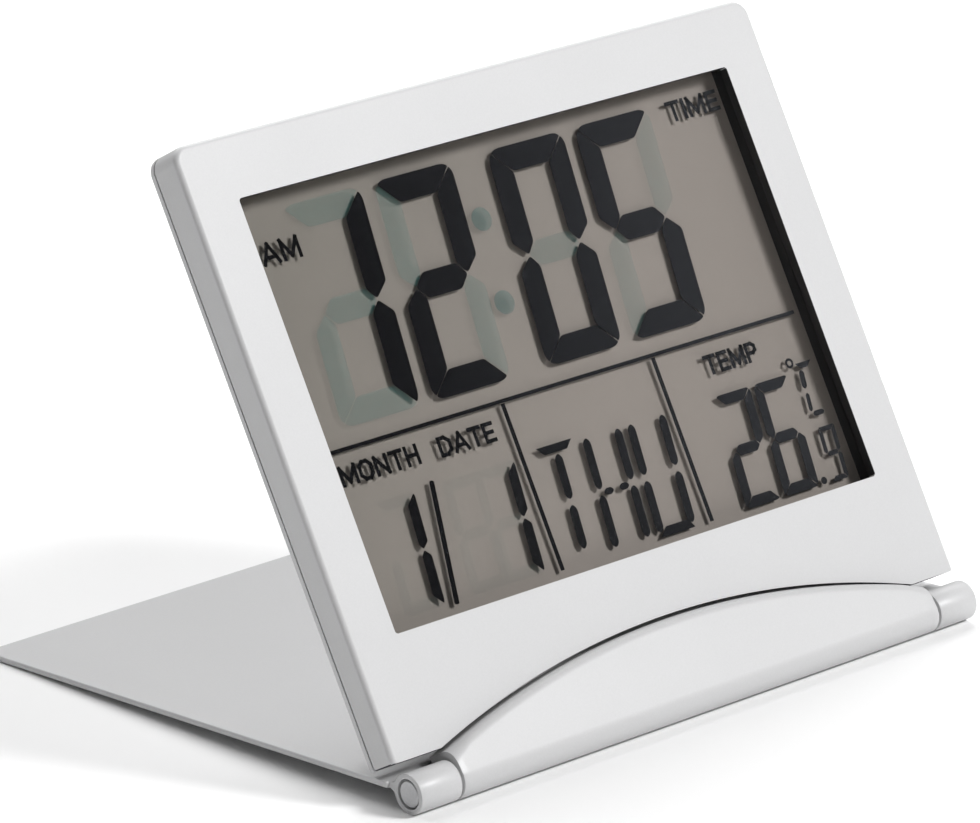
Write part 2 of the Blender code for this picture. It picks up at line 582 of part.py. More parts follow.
def build_power(case, looks):
    centre = (CELL_X, CELL_Z)
    front = HOLDER_BACK + 1.05
    levels = ((CELL_RADIUS - 1.6, front), (CELL_RADIUS - 1.2, front + 0.3), (CELL_RADIUS - 0.3, front + 0.5),
              (CELL_RADIUS, front + 0.8), (CELL_RADIUS, front + CELL_THICK - 0.2),
              (CELL_RADIUS - 0.2, front + CELL_THICK))
    cell = loft([[(x, y, z) for x, z in circle(radius, centre, 40)] for radius, y in levels])
    add("button_cell", cell, case, looks["steel"])
    strip = rectangle(CELL_X - 12.5, CELL_X + 6.0, CELL_Z - 2.0, CELL_Z + 2.0, 0.8, 3)
    negative = prism_y(strip, HOLDER_BACK + 0.35, HOLDER_BACK + 0.35 + CONTACT_THICK)
    add("battery_contact_negative", negative, case, looks["spring"])
    wall_x = CELL_X + CELL_RADIUS + 0.4
    clip = rectangle(wall_x, wall_x + CONTACT_THICK, front + 0.4, front + 2.6)
    positive = loft([[(x, y, z) for x, y in clip] for z in (CELL_Z - 4.0, CELL_Z + 4.0)])
    add("battery_contact_positive", positive, case, looks["spring"])

    door = add("battery_door", disc(DOOR_RADIUS, centre, PANEL_INNER - GAP, PANEL_BACK, 48), case,
               looks["shell"], at=(CELL_X, PANEL_BACK, CELL_Z))
    tabs = []
    half = DOOR_TAB_HALF_ANGLE
    for start in (0.0, 180.0):
        tab = (arc(centre, DOOR_TAB_RADIUS, start - half, start + half, 5)
               + arc(centre, CELL_RADIUS + 0.6, start + half, start - half, 5))
        tabs.append(prism_y(tab, PANEL_INNER - GAP - DOOR_TAB_THICK, PANEL_INNER - GAP + 0.001))
    shape(door, "UNION", merged(*tabs), "locking tabs")
    half = COIN_SLOT_WIDTH / 2
    slot = rectangle(CELL_X - COIN_SLOT_HALF, CELL_X + COIN_SLOT_HALF, CELL_Z - half, CELL_Z + half,
                     half - 0.01, 4)
    cut = prism_y(slot, PANEL_BACK - COIN_SLOT_DEPTH, PANEL_BACK + OVERCUT)
    shape(door, "DIFFERENCE", cut, "coin slot")


def build_buzzer(case, looks):
    centre = (BUZZER_X, BUZZER_Z)
    back = PANEL_INNER - GAP
    thick = 0.25
    front = back - thick - FILM_GAP
    add("buzzer_plate", disc(BUZZER_RADIUS, centre, back - thick, back, 40), case, looks["brass"])
    ceramic = disc(BUZZER_RADIUS * 0.68, centre, front - thick, front)
    add("buzzer_ceramic", ceramic, case, looks["ceramic"])


def build_screws(case, look):
    for index, (x, z) in enumerate(case_screws(), 1):
        seat = rear_y(z) - 0.65
        solid = screw((x, z), SHANK, SCREW_HEAD, FACE_Y + 1.3, seat, 0.6)
        add(f"case_screw_{index}", solid, case, look, at=(x, seat, z))
    for word, (x, z) in zip(("left", "right"), bridge_screws()):
        seat = BARREL + GAP
        solid = screw((x, z), BRIDGE_SHANK, SCREW_HEAD, FACE_Y + 0.8, seat, 0.7)
        add(f"bridge_screw_{word}", solid, case, look, at=(x, seat, z))


def main():
    for obj in list(bpy.data.objects):
        bpy.data.objects.remove(obj, do_unlink=True)

    silver = (0.72, 0.73, 0.74)
    shell = material("silver_plastic", silver, 0.38, 0.25)
    looks = {
        "shell": shell,
        "clear": material("clear_acrylic", (0.95, 0.96, 0.96), 0.04, 0.0, 0.25),
        "film": material("polarizer_film", (0.30, 0.29, 0.26), 0.10, 0.0, 0.35),
        "glass": material("display_glass", (0.80, 0.84, 0.80), 0.03, 0.0, 0.30),
        "reflector": material("reflector_film", (0.42, 0.40, 0.36), 0.45, 0.2),
        "holder": material("holder_plastic", (0.03, 0.03, 0.03), 0.55),
        "strip": material("elastomer", (0.62, 0.60, 0.62), 0.70),
        "board": material("board_green", (0.05, 0.22, 0.10), 0.45),
        "epoxy": material("chip_epoxy", (0.02, 0.02, 0.02), 0.35),
        "component": material("component_body", (0.25, 0.20, 0.15), 0.45),
        "steel": material("bright_steel", (0.62, 0.62, 0.63), 0.25, 1.0),
        "spring": material("plated_spring", (0.70, 0.68, 0.62), 0.30, 1.0),
        "brass": material("buzzer_brass", (0.78, 0.60, 0.28), 0.30, 1.0),
        "ceramic": material("buzzer_ceramic", (0.88, 0.86, 0.80), 0.55),
        "key": material("key_grey", (0.35, 0.36, 0.38), 0.45),
        "washer": material("washer_nylon", (0.90, 0.90, 0.88), 0.50),
    }
    case = frame("case_frame", (0.0, AXIS_Y, AXIS_Z), -CASE_LEAN)
    lid = frame("lid_frame", (0.0, 0.0, 0.0), OPEN_ANGLE, case)

    build_front_bezel(case, looks["shell"])
    build_rear_cover(case, looks["shell"])
    build_hinge_bridge(case, looks["shell"])
    build_stand_lid(lid, looks["shell"])
    build_hinge_pins(lid, looks["steel"], looks["washer"])
    build_display(case, looks)
    build_board(case, looks)
    build_keys(case, looks)
    build_power(case, looks)
    build_buzzer(case, looks)
    build_screws(case, looks["steel"])


main()
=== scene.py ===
"""Looks of the travel alarm clock: silver shells, the display with its segments, the back, the studio.

Pieces of the case are laid out in the case's own frame, in millimetres: x to the right, y from the
face to the back, z up the face, with the origin on the hinge axis. Pieces of the lid use the same
frame with the lid closed over the face, and are swung open about the axis like the CAD lid.
"""
import json
import math

import bmesh
import bpy
from mathutils import Matrix, Vector


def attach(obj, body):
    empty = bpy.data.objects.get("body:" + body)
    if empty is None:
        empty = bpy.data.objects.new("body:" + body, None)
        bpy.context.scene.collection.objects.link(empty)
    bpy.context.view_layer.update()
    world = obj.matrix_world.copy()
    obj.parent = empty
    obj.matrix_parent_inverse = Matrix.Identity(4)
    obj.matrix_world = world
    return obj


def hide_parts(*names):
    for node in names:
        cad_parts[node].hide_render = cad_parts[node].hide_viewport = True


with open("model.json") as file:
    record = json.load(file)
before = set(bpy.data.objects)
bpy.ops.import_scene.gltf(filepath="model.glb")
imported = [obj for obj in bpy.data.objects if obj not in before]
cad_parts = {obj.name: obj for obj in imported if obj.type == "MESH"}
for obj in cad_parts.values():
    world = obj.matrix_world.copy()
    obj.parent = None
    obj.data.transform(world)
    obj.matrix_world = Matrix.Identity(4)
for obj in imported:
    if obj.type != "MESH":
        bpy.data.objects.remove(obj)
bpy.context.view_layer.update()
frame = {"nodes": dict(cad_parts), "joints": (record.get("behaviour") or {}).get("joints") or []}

MM = 0.001
JOINTS = {joint["name"]: joint for joint in frame["joints"]}
HINGE = Vector(JOINTS["lid_fold"]["pos_m"])
PRESS = Vector(JOINTS["mode_press"]["axis"])
LEAN = math.atan2(PRESS.z, -PRESS.y)
CASE_FRAME = Matrix.Translation(HINGE) @ Matrix.Rotation(-LEAN, 4, "X")


def local_box(node, place=CASE_FRAME):
    """Lowest and highest corner of a CAD node in the case's or the lid's frame, in millimetres."""
    back = place.inverted()
    points = [back @ vertex.co / MM for vertex in frame["nodes"][node].data.vertices]
    return (Vector([min(p[i] for p in points) for i in range(3)]),
            Vector([max(p[i] for p in points) for i in range(3)]))


# ---- sizes read from the CAD, in millimetres ------------------------------------------------------
BEZEL_LOW, BEZEL_HIGH = local_box("front_bezel")
_, COVER_HIGH = local_box("rear_cover")
BRIDGE_LOW, BRIDGE_HIGH = local_box("hinge_bridge")
# the lid, closed, ends level with the case; open, that end lies on the floor with the barrel
LID_DROP = math.asin((HINGE.z / MM + BEZEL_LOW.y) / BEZEL_HIGH.z)
LID_FRAME = CASE_FRAME @ Matrix.Rotation(1.5 * math.pi + LEAN - LID_DROP, 4, "X")
_, LID_HIGH = local_box("stand_lid", LID_FRAME)
_, GLASS_HIGH = local_box("lcd_front_glass")
DOOR_LOW, DOOR_HIGH = local_box("battery_door")
PIN_LOW, PIN_HIGH = local_box("hinge_pin_right", LID_FRAME)

CASE_HALF = BEZEL_HIGH.x
CASE_BOTTOM, CASE_TOP = BEZEL_LOW.z, BEZEL_HIGH.z
FACE_Y = BEZEL_LOW.y
BARREL = -BRIDGE_LOW.z
BRIDGE_END = BRIDGE_HIGH.x
PANEL_BACK = COVER_HIGH.y
LID_HALF = LID_HIGH.x
LID_END = LID_HIGH.z
LID_THICK = 0.9
LID_INNER, LID_OUTER = -FACE_Y, -FACE_Y - LID_THICK

# ---- sizes shared with the design ------------------------------------------------------------------
CASE_CORNER, CASE_LEAST_CORNER = 2.5, 0.6    # upper corners, and the least radius of an inset one
CASE_LOWER_CORNER = 0.4
FACE_EDGE = 0.8
WALL = 1.2
RIM = 0.9
GAP = 0.3
DEPTH_BOTTOM, DEPTH_TOP = 5.4, 6.4
WINDOW_HALF, WINDOW_LOW, WINDOW_HIGH, WINDOW_CORNER = 46.0, 21.1, 84.4, 0.5
ARCH_HALF, ARCH_RISE, ARCH_PROUD, ARCH_EDGE = 45.3, 7.3, 1.3, 1.7
END_ROUND, END_START, END_BLEND = 0.96, 0.9, 2.4    # the bridge's ends take the barrel's roundness
KNUCKLE_IN, KNUCKLE_OUT = 46.15, 53.4
LID_CORNER, LID_FILLET = 2.5, 1.3
LID_NOTCH_GAP = 0.7          # room between the lid's notch and the arch
PIN_BORE = 1.3
KNUCKLE_SEAT = (2.2, 0.9)    # radius and depth of the pin head's seat
WASHER_SEAT = (2.3, 0.75)    # radius and depth of the friction washer's seat
PIN_HEAD, PIN_SHANK = 1.9, 1.0
PANEL_HALF, PANEL_LOW, PANEL_HIGH, PANEL_DRAFT = 50.0, 13.4, 88.0, 1.1
PANEL_FOOT_CORNER, PANEL_CORNER, PANEL_SHOULDER = 4.0, 3.2, 1.3
PANEL_CAVITY, CAVITY_CORNER = (-47.9, 47.9, 15.0, 86.3), 1.6
PANEL_INNER = PANEL_BACK - WALL
SOUND_HOLE, SOUND_RING = 0.6, 3.6
VENT_X, VENT_STEP, VENT_HALF, VENT_LOW, VENT_HIGH = -40.0, 2.4, 0.5, 22.0, 30.0
KEYS = ("mode_key", "set_key", "up_key", "down_key")
KEY_WORDS = ("MODE", "SET", "UP", "DOWN")
KEY_RADIUS = 2.6
SCREW_X, SCREW_Z = 50.0, (8.0, 90.4)
SCREW_BORE, SCREW_SEAT, SCREW_SUNK = 1.1, 1.7, 0.75
SCREW_HEAD, SCREW_SHANK = 1.4, 0.7
DOOR_TAB, DOOR_TAB_THICK, DOOR_TAB_TURN = 1.3, 0.8, 16.0
DOOR_NOTCH_TURN = 19.0
COIN_SLOT_HALF, COIN_SLOT_HALF_WIDTH = 6.0, 0.8
DOOR_TAB_ROOT, DOOR_HOLE_INSET, DOOR_LIP = 10.6, 1.0, 2.0    # the lip stands round a dished middle
BEZEL_SOFT, COVER_SOFT, LID_SOFT, DOOR_SOFT = 0.22, 0.15, 0.2, 0.08    # widths of rounded edges
BRIDGE_SOFT, KNUCKLE_SOFT = 0.07, 0.09    # end edges of the barrel's pieces
RIM_STEP, RIM_COVERED = 0.6, 0.2    # the cover's inner step: past the rim's front, under its back
SHANK_END = 0.4              # a screw's bore ends this far under the back, inside the head's seat
SHANK_ROOM = 7.0             # depth of the bridge's bores for the pins
KNUCKLE_TOP = CASE_BOTTOM + 1.4    # the knuckle's flat sides end here, inside the plate
LID_FOOT, NOTCH_LEAST = CASE_BOTTOM - 0.6, CASE_BOTTOM + 1.0    # plate's hinge edge, lowest notch
PIN_HEAD_THICK = 0.5
# where the bezel's faces take a near-black painted shade: the window's inner walls and the underside
SHADE_NEAR, SHADE_FROM, SHADE_DOWN = 0.1, 0.2, -0.7    # see darken_shaded_faces
OVERCUT = 1.0                # how far a cutter stands past the surface it cuts
HAIR = 0.01                  # kept off a half width where an end is all but a half circle
ROUND = 64

# ---- display layout: places on the glass, x and z of the case frame -------------------------------
DISPLAY_Y = GLASS_HIGH.y + 0.03
DISPLAY_THICK = 0.04
SLANT = 0.09                 # leftward lean of the figures per millimetre down
DIGIT_GAP = 0.14
LABEL_STROKE = 0.58
# left, right, lower and upper edge of each rule between the fields
RULES = ((-46.3, 44.8, 47.3, 47.85), (-12.55, -11.85, 22.4, 47.2), (16.2, 16.9, 22.4, 47.2))
# word, left edge, lower edge, width, height
DISPLAY_WORDS = (("TIME", 35.0, 79.0, 10.1, 3.1), ("AM", -43.4, 74.7, 7.0, 3.3),
                 ("MONTH", -43.5, 42.5, 14.3, 3.0), ("DATE", -25.6, 42.4, 10.4, 3.0),
                 ("TEMP", 25.2, 42.3, 10.3, 3.0))


# ---- geometry helpers ------------------------------------------------------------------------------
def rear_y(z):
    """Back of the case's shell at height z: the case is a little deeper at its top."""
    rise = (z - CASE_BOTTOM) / (CASE_TOP - CASE_BOTTOM)
    return FACE_Y + DEPTH_BOTTOM + (DEPTH_TOP - DEPTH_BOTTOM) * rise


def arch_z(x, grow=0.0):
    """Height of the arch at x: a circular arc over the case's lower edge, grown outwards."""
    radius = (ARCH_HALF ** 2 + ARCH_RISE ** 2) / (2.0 * ARCH_RISE)
    return CASE_BOTTOM + ARCH_RISE - radius + math.sqrt((radius + grow) ** 2 - x ** 2)


def arc(centre, radius, start, end, steps):
    """Points along an arc, angles in degrees."""
    angles = [math.radians(start + (end - start) * i / steps) for i in range(steps + 1)]
    return [(centre[0] + radius * math.cos(a), centre[1] + radius * math.sin(a)) for a in angles]


def circle(radius, centre=(0.0, 0.0), sides=ROUND):
    return arc(centre, radius, 0.0, 360.0, sides)[:-1]


def rectangle(left, right, low, high, corner, steps=10):
    turns = ((right - corner, low + corner, -90), (right - corner, high - corner, 0),
             (left + corner, high - corner, 90), (left + corner, low + corner, 180))
    return [point for x, z, start in turns for point in arc((x, z), corner, start, start + 90, steps)]


def loft(rings):
    """Solid through rings of equal count, capped at both ends."""
    bm = bmesh.new()
    loops = [[bm.verts.new(point) for point in ring] for ring in rings]
    count = len(loops[0])
    for near, far in zip(loops, loops[1:]):
        for i in range(count):
            j = (i + 1) % count
            bm.faces.new((near[i], near[j], far[j], far[i]))
    bm.faces.new(loops[0])
    bm.faces.new(loops[-1])
    bmesh.ops.recalc_face_normals(bm, faces=bm.faces)
    return bm


def prism_y(outline, front, back):
    """Prism along Y between two places, each a number or a function of z."""
    def place(end, z):
        return end(z) if callable(end) else end
    return loft([[(x, place(end, z), z) for x, z in outline] for end in (front, back)])


def turned(profile, centre, sides=ROUND):
    """Solid turned about a line along Y, from (radius, y) pairs."""
    return loft([[(x, y, z) for x, z in circle(radius, centre, sides)] for radius, y in profile])


def rod(profile, sides=40):
    """Solid turned about the hinge axis, from (radius, x) pairs."""
    return loft([[(x, y, z) for y, z in circle(radius, sides=sides)] for radius, x in profile])


def merged(*solids):
    result = bmesh.new()
    for solid in solids:
        mesh = bpy.data.meshes.new("part")
        solid.to_mesh(mesh)
        solid.free()
        result.from_mesh(mesh)
        bpy.data.meshes.remove(mesh)
    return result


def piece(name, solid, look, body=None, place=CASE_FRAME, soft_angle=32.0):
    """Object from a solid in millimetres, set in the case's or the lid's frame."""
    solid.transform(place @ Matrix.Scale(MM, 4))
    mesh = bpy.data.meshes.new(name)
    solid.to_mesh(mesh)
    solid.free()
    mesh.shade_smooth()
    mesh.set_sharp_from_angle(angle=math.radians(soft_angle))
    obj = bpy.data.objects.new(name, mesh)
    bpy.context.scene.collection.objects.link(obj)
    if look:
        mesh.materials.append(look)
    if body:
        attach(obj, body)
    return obj


def crease(obj, angle):
    """Shade smooth, with a crease wherever faces meet at more than an angle."""
    obj.data.shade_smooth()
    obj.data.set_sharp_from_angle(angle=math.radians(angle))


def boolean(target, operation, solid, place=CASE_FRAME):
    """Apply a Boolean at once and drop its tool."""
    tool = piece("tool", solid, None, place=place)
    modifier = target.modifiers.new("shape", "BOOLEAN")
    modifier.operation = operation
    modifier.solver = "EXACT"
    modifier.object = tool
    apply_modifiers(target)
    bpy.data.objects.remove(tool)


def apply_modifiers(obj):
    bpy.context.view_layer.update()
    graph = bpy.context.evaluated_depsgraph_get()
    mesh = bpy.data.meshes.new_from_object(obj.evaluated_get(graph))
    old = obj.data
    obj.modifiers.clear()
    obj.data = mesh
    bpy.data.meshes.remove(old)


def soften(obj, width, segments=3, angle=50.0):
    """Round every sharp edge a little and keep the flat faces flat."""
    bevel = obj.modifiers.new("edges", "BEVEL")
    bevel.width = width * MM
    bevel.segments = segments
    bevel.limit_method = "ANGLE"
    bevel.angle_limit = math.radians(angle)
    bevel.miter_outer = "MITER_ARC"
    apply_modifiers(obj)
    crease(obj, 60.0)
    weighted = obj.modifiers.new("flat faces", "WEIGHTED_NORMAL")
    weighted.keep_sharp = True
    weighted.weight = 100


# ---- materials -------------------------------------------------------------------------------------
def new_material(name, colour, roughness, metallic=0.0, alpha=1.0, coat=0.0):
    material = bpy.data.materials.new(name)
    material.use_nodes = True
    shader = material.node_tree.nodes["Principled BSDF"]
    shader.inputs["Base Color"].default_value = (*colour, 1.0)
    shader.inputs["Roughness"].default_value = roughness
    shader.inputs["Metallic"].default_value = metallic
    shader.inputs["Alpha"].default_value = alpha
    shader.inputs["Coat Weight"].default_value = coat
    shader.inputs["Coat Roughness"].default_value = 0.22
    return material, shader


def noise(material, scale, detail=4.0):
    """Noise over the object in metres, so that its grain keeps its real size."""
    nodes, links = material.node_tree.nodes, material.node_tree.links
    coordinates = nodes.new("ShaderNodeTexCoord")
    texture = nodes.new("ShaderNodeTexNoise")
    texture.inputs["Scale"].default_value = scale
    texture.inputs["Detail"].default_value = detail
    links.new(coordinates.outputs["Object"], texture.inputs["Vector"])
    return texture


def vary_colour(material, shader, texture, low, high):
    nodes, links = material.node_tree.nodes, material.node_tree.links
    ramp = nodes.new("ShaderNodeValToRGB")
    ramp.color_ramp.elements[0].position = 0.3
    ramp.color_ramp.elements[1].position = 0.7
    ramp.color_ramp.elements[0].color = (*low, 1.0)
    ramp.color_ramp.elements[1].color = (*high, 1.0)
    links.new(texture.outputs["Fac"], ramp.inputs["Fac"])
    links.new(ramp.outputs["Color"], shader.inputs["Base Color"])


def vary_roughness(material, shader, texture, low, high):
    nodes, links = material.node_tree.nodes, material.node_tree.links
    spread = nodes.new("ShaderNodeMapRange")
    spread.inputs["To Min"].default_value = low
    spread.inputs["To Max"].default_value = high
    links.new(texture.outputs["Fac"], spread.inputs["Value"])
    links.new(spread.outputs["Result"], shader.inputs["Roughness"])


def bump(material, shader, texture, height_mm):
    nodes, links = material.node_tree.nodes, material.node_tree.links
    relief = nodes.new("ShaderNodeBump")
    relief.inputs["Distance"].default_value = height_mm * MM
    links.new(texture.outputs["Fac"], relief.inputs["Height"])
    links.new(relief.outputs["Normal"], shader.inputs["Normal"])


def grained(name, colour, roughness, metallic=0.0, spread=0.04, grain=2500.0, height=0.004, coat=0.0,
            specular=0.5):
    """Moulded or painted surface: fine grain in colour, roughness and relief."""
    material, shader = new_material(name, colour, roughness, metallic, coat=coat)
    shader.inputs["Specular IOR Level"].default_value = specular
    fine = noise(material, grain)
    broad = noise(material, 60.0, 2.0)
    low = tuple(c * (1.0 - spread) for c in colour)
    high = tuple(min(1.0, c * (1.0 + spread)) for c in colour)
    vary_colour(material, shader, fine, low, high)
    vary_roughness(material, shader, broad, roughness - 0.04, roughness + 0.04)
    bump(material, shader, fine, height)
    return material


def clear(name, colour, alpha, roughness=0.03, specular=0.5):
    """Clear sheet that light passes straight through, with a faint haze in its gloss."""
    material, shader = new_material(name, colour, roughness, alpha=alpha)
    shader.inputs["Specular IOR Level"].default_value = specular
    haze = noise(material, 40.0, 2.0)
    vary_roughness(material, shader, haze, roughness, roughness + 0.03)
    return material


def slope(material, direction, start, end):
    """Value that runs from 0 to 1 along a direction in the case, between two places in millimetres."""
    nodes, links = material.node_tree.nodes, material.node_tree.links
    coordinates = nodes.new("ShaderNodeTexCoord")
    along = nodes.new("ShaderNodeVectorMath")
    along.operation = "DOT_PRODUCT"
    axis = CASE_FRAME.to_3x3() @ Vector(direction)
    along.inputs[1].default_value = axis
    offset = HINGE.dot(axis)
    spread = nodes.new("ShaderNodeMapRange")
    spread.inputs["From Min"].default_value = start * MM + offset
    spread.inputs["From Max"].default_value = end * MM + offset
    links.new(coordinates.outputs["Object"], along.inputs[0])
    links.new(along.outputs["Value"], spread.inputs["Value"])
    return spread


def blend(material, shader, value, low, high):
    """Base colour that runs from low to high as the value runs from 0 to 1."""
    nodes, links = material.node_tree.nodes, material.node_tree.links
    ramp = nodes.new("ShaderNodeValToRGB")
    ramp.color_ramp.elements[0].color = (*low, 1.0)
    ramp.color_ramp.elements[1].color = (*high, 1.0)
    links.new(value.outputs["Result"], ramp.inputs["Fac"])
    links.new(ramp.outputs["Color"], shader.inputs["Base Color"])


def segment_material():
    """Dark display ink; its colour runs paler towards the display's right-hand side as painted light."""
    material, shader = new_material("display_ink", (0.01, 0.01, 0.013), 0.6)
    shader.inputs["Specular IOR Level"].default_value = 0.0
    # painted light: the ink is paler towards the display's right-hand side
    blend(material, shader, slope(material, (1.0, 0.0, 0.0), -28.0, 45.0),
          (0.004, 0.004, 0.006), (0.042, 0.044, 0.050))
    return material


def ghost_material():
    """Unlit segments: a faint green, fainter towards the display's right-hand side as painted light."""
    material = clear("unlit_segment", (0.0, 0.30, 0.28), 0.15, 0.6, 0.0)
    shader = material.node_tree.nodes["Principled BSDF"]
    # painted light: the unlit segments fade towards the display's right-hand side
    fade = slope(material, (1.0, 0.0, 0.0), -20.0, 22.0)
    fade.inputs["To Min"].default_value = 0.085
    fade.inputs["To Max"].default_value = 0.055
    material.node_tree.links.new(fade.outputs["Result"], shader.inputs["Alpha"])
    return material


def reflector_material():
    """Warm grey satin film; its colour is painted darker towards the display's upper left, a painted shade.
    """
    material, shader = new_material("reflector_film", (0.40, 0.345, 0.30), 0.55)
    # painted shade: the film's colour runs darker towards the display's upper left
    blend(material, shader, slope(material, (0.8, 0.0, -0.6), -75.0, -20.0),
          (0.290, 0.262, 0.222), (0.400, 0.352, 0.312))
    bump(material, shader, noise(material, 1800.0), 0.001)
    return material


def board_material():
    """Green solder resist over copper: tracks show as slightly paler lines."""
    material, shader = new_material("board_resist", (0.02, 0.12, 0.05), 0.35, coat=0.4)
    nodes, links = material.node_tree.nodes, material.node_tree.links
    coordinates = nodes.new("ShaderNodeTexCoord")
    tracks = nodes.new("ShaderNodeTexBrick")
    tracks.inputs["Scale"].default_value = 420.0
    tracks.inputs["Mortar Size"].default_value = 0.05
    tracks.inputs["Color1"].default_value = (0.012, 0.10, 0.04, 1.0)
    tracks.inputs["Color2"].default_value = (0.018, 0.13, 0.05, 1.0)
    tracks.inputs["Mortar"].default_value = (0.06, 0.24, 0.10, 1.0)
    links.new(coordinates.outputs["Object"], tracks.inputs["Vector"])
    links.new(tracks.outputs["Color"], shader.inputs["Base Color"])
    return material


def build_looks():
    return {
        "silver": grained("silver_paint", (0.55, 0.55, 0.555), 0.55, 0.08, 0.02, 4000.0, 0.002, 0.15, 0.25),
        # near-black painted shade for the window's inner walls and the case's underside
        "shade_look": grained("painted_shade_near_black", (0.02, 0.02, 0.021), 0.6, 0.0, 0.1, 3000.0, 0.003),
        "lens": clear("lens_acrylic", (0.05, 0.05, 0.05), 0.02),
        "glass": clear("cell_glass", (0.05, 0.06, 0.05), 0.01),
        "film": clear("polarizer_film", (0.02, 0.02, 0.02), 0.12, 0.2, 0.0),
        "reflector": reflector_material(),
        "ink": segment_material(),
        "ghost": ghost_material(),
        "faint_ghost": clear("faint_unlit_segment", (0.0, 0.22, 0.20), 0.02, 0.6, 0.0),
        "colon_ghost": clear("unlit_colon", (0.0, 0.20, 0.20), 0.18, 0.6, 0.0),
        "holder": grained("holder_plastic", (0.025, 0.025, 0.027), 0.55, 0.0, 0.1, 1500.0, 0.006),
        "strip": grained("elastomer", (0.60, 0.58, 0.60), 0.7, 0.0, 0.25, 9000.0, 0.004),
        "board": board_material(),
        "epoxy": grained("chip_epoxy", (0.015, 0.015, 0.016), 0.3, 0.0, 0.3, 300.0, 0.02, 0.3),
        "component": grained("component_body", (0.22, 0.17, 0.12), 0.45, 0.0, 0.08, 2000.0, 0.004),
        "steel": grained("bright_steel", (0.60, 0.60, 0.61), 0.24, 1.0, 0.06, 3000.0, 0.001),
        "pin": grained("pin_steel", (0.46, 0.46, 0.47), 0.4, 0.6, 0.06, 3000.0, 0.001),
        "spring": grained("plated_spring", (0.66, 0.63, 0.55), 0.3, 1.0, 0.06, 2500.0, 0.001),
        "brass": grained("buzzer_brass", (0.76, 0.56, 0.24), 0.3, 1.0, 0.06, 2500.0, 0.001),
        "ceramic": grained("silvered_ceramic", (0.86, 0.84, 0.78), 0.5, 0.0, 0.03, 3000.0, 0.002),
        "key": grained("key_grey", (0.30, 0.31, 0.33), 0.45, 0.0, 0.04, 3000.0, 0.004),
        "nylon": grained("washer_nylon", (0.86, 0.86, 0.83), 0.5, 0.0, 0.02, 2000.0, 0.004),
        "print": grained("printed_grey", (0.10, 0.10, 0.11), 0.5, 0.0, 0.1, 5000.0, 0.001),
    }


# ---- case shells -----------------------------------------------------------------------------------
def case_outline(inset=0.0, floor=0.0):
    """Case seen from the front, inset at its sides and top, and by 'floor' below."""
    half, top, low = CASE_HALF - inset, CASE_TOP - inset, CASE_BOTTOM + floor
    upper, lower = max(CASE_CORNER - inset, CASE_LEAST_CORNER), CASE_LOWER_CORNER
    return (arc((half - lower, low + lower), lower, -90, 0, 5)
            + arc((half - upper, top - upper), upper, 0, 90, 12)
            + arc((upper - half, top - upper), upper, 90, 180, 12)
            + arc((lower - half, low + lower), lower, 180, 270, 5))


def arch_outline(steps=72):
    """Arch over the case's lower edge, closed below the case."""
    places = [ARCH_HALF * (1 - 2 * i / steps) for i in range(steps + 1)]
    low = CASE_BOTTOM - OVERCUT
    return [(-ARCH_HALF, low), (ARCH_HALF, low)] + [(x, arch_z(x)) for x in places]


def bezel_back(z):
    return rear_y(z) - RIM - GAP / 2


def build_bezel(looks):
    rings = []
    steps = 7
    for step in range(steps + 1):
        turn = math.radians(90.0 * step / steps)
        inset = FACE_EDGE * (1 - math.sin(turn))
        y = FACE_Y + FACE_EDGE * (1 - math.cos(turn))
        rings.append([(x, y, z) for x, z in case_outline(inset)])
    rings.append([(x, bezel_back(z), z) for x, z in case_outline()])
    bezel = piece("bezel_shell", loft(rings), looks["silver"])
    boolean(bezel, "DIFFERENCE", prism_y(case_outline(WALL, WALL), FACE_Y + WALL, PANEL_BACK))
    window = rectangle(-WINDOW_HALF, WINDOW_HALF, WINDOW_LOW, WINDOW_HIGH, WINDOW_CORNER, 5)
    boolean(bezel, "DIFFERENCE", prism_y(window, -OVERCUT, FACE_Y + WALL + OVERCUT))
    boolean(bezel, "DIFFERENCE", prism_y(arch_outline(), -OVERCUT, FACE_Y + WALL + OVERCUT / 2))
    slot_half = BRIDGE_END + GAP
    slot = rectangle(-slot_half, slot_half, CASE_BOTTOM - OVERCUT, CASE_BOTTOM + WALL + 0.1, 0.3, 3)
    boolean(bezel, "DIFFERENCE", prism_y(slot, FACE_Y + WALL - 0.1, BARREL + 2 * GAP))
    soften(bezel, BEZEL_SOFT)
    # near-black painted shade on the window's inner walls and under the case
    darken_shaded_faces(bezel, looks["shade_look"])
    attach(bezel, "case")
    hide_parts("front_bezel")


def darken_shaded_faces(bezel, look):
    """Painted shade: near-black on the window's inner walls and on the case's underside with its arch.

    These are the faces near the window's outline, or turned down below the arch's top, that lie
    behind the face's own silver-painted edge; their near-black stands in for the shade that falls there.
    """
    bezel.data.materials.append(look)
    middle, half = (WINDOW_LOW + WINDOW_HIGH) / 2, (WINDOW_HIGH - WINDOW_LOW) / 2
    back = CASE_FRAME.inverted()
    for face in bezel.data.polygons:
        spot = back @ face.center / MM
        facing = back.to_3x3() @ face.normal
        beside = abs(abs(spot.x) - WINDOW_HALF) < SHADE_NEAR and abs(spot.z - middle) < half
        above = abs(abs(spot.z - middle) - half) < SHADE_NEAR and abs(spot.x) < WINDOW_HALF
        under = facing.z < SHADE_DOWN and spot.z < CASE_BOTTOM + ARCH_RISE + GAP
        if (beside or above or under) and spot.y > FACE_Y + SHADE_FROM:
            face.material_index = 1


def key_centres():
    boxes = [local_box(name) for name in KEYS]
    return [((low.x + high.x) / 2, (low.z + high.z) / 2) for low, high in boxes]


def door_centre():
    return ((DOOR_LOW.x + DOOR_HIGH.x) / 2, (DOOR_LOW.z + DOOR_HIGH.z) / 2)


def buzzer_centre():
    low, high = local_box("buzzer_plate")
    return ((low.x + high.x) / 2, (low.z + high.z) / 2)


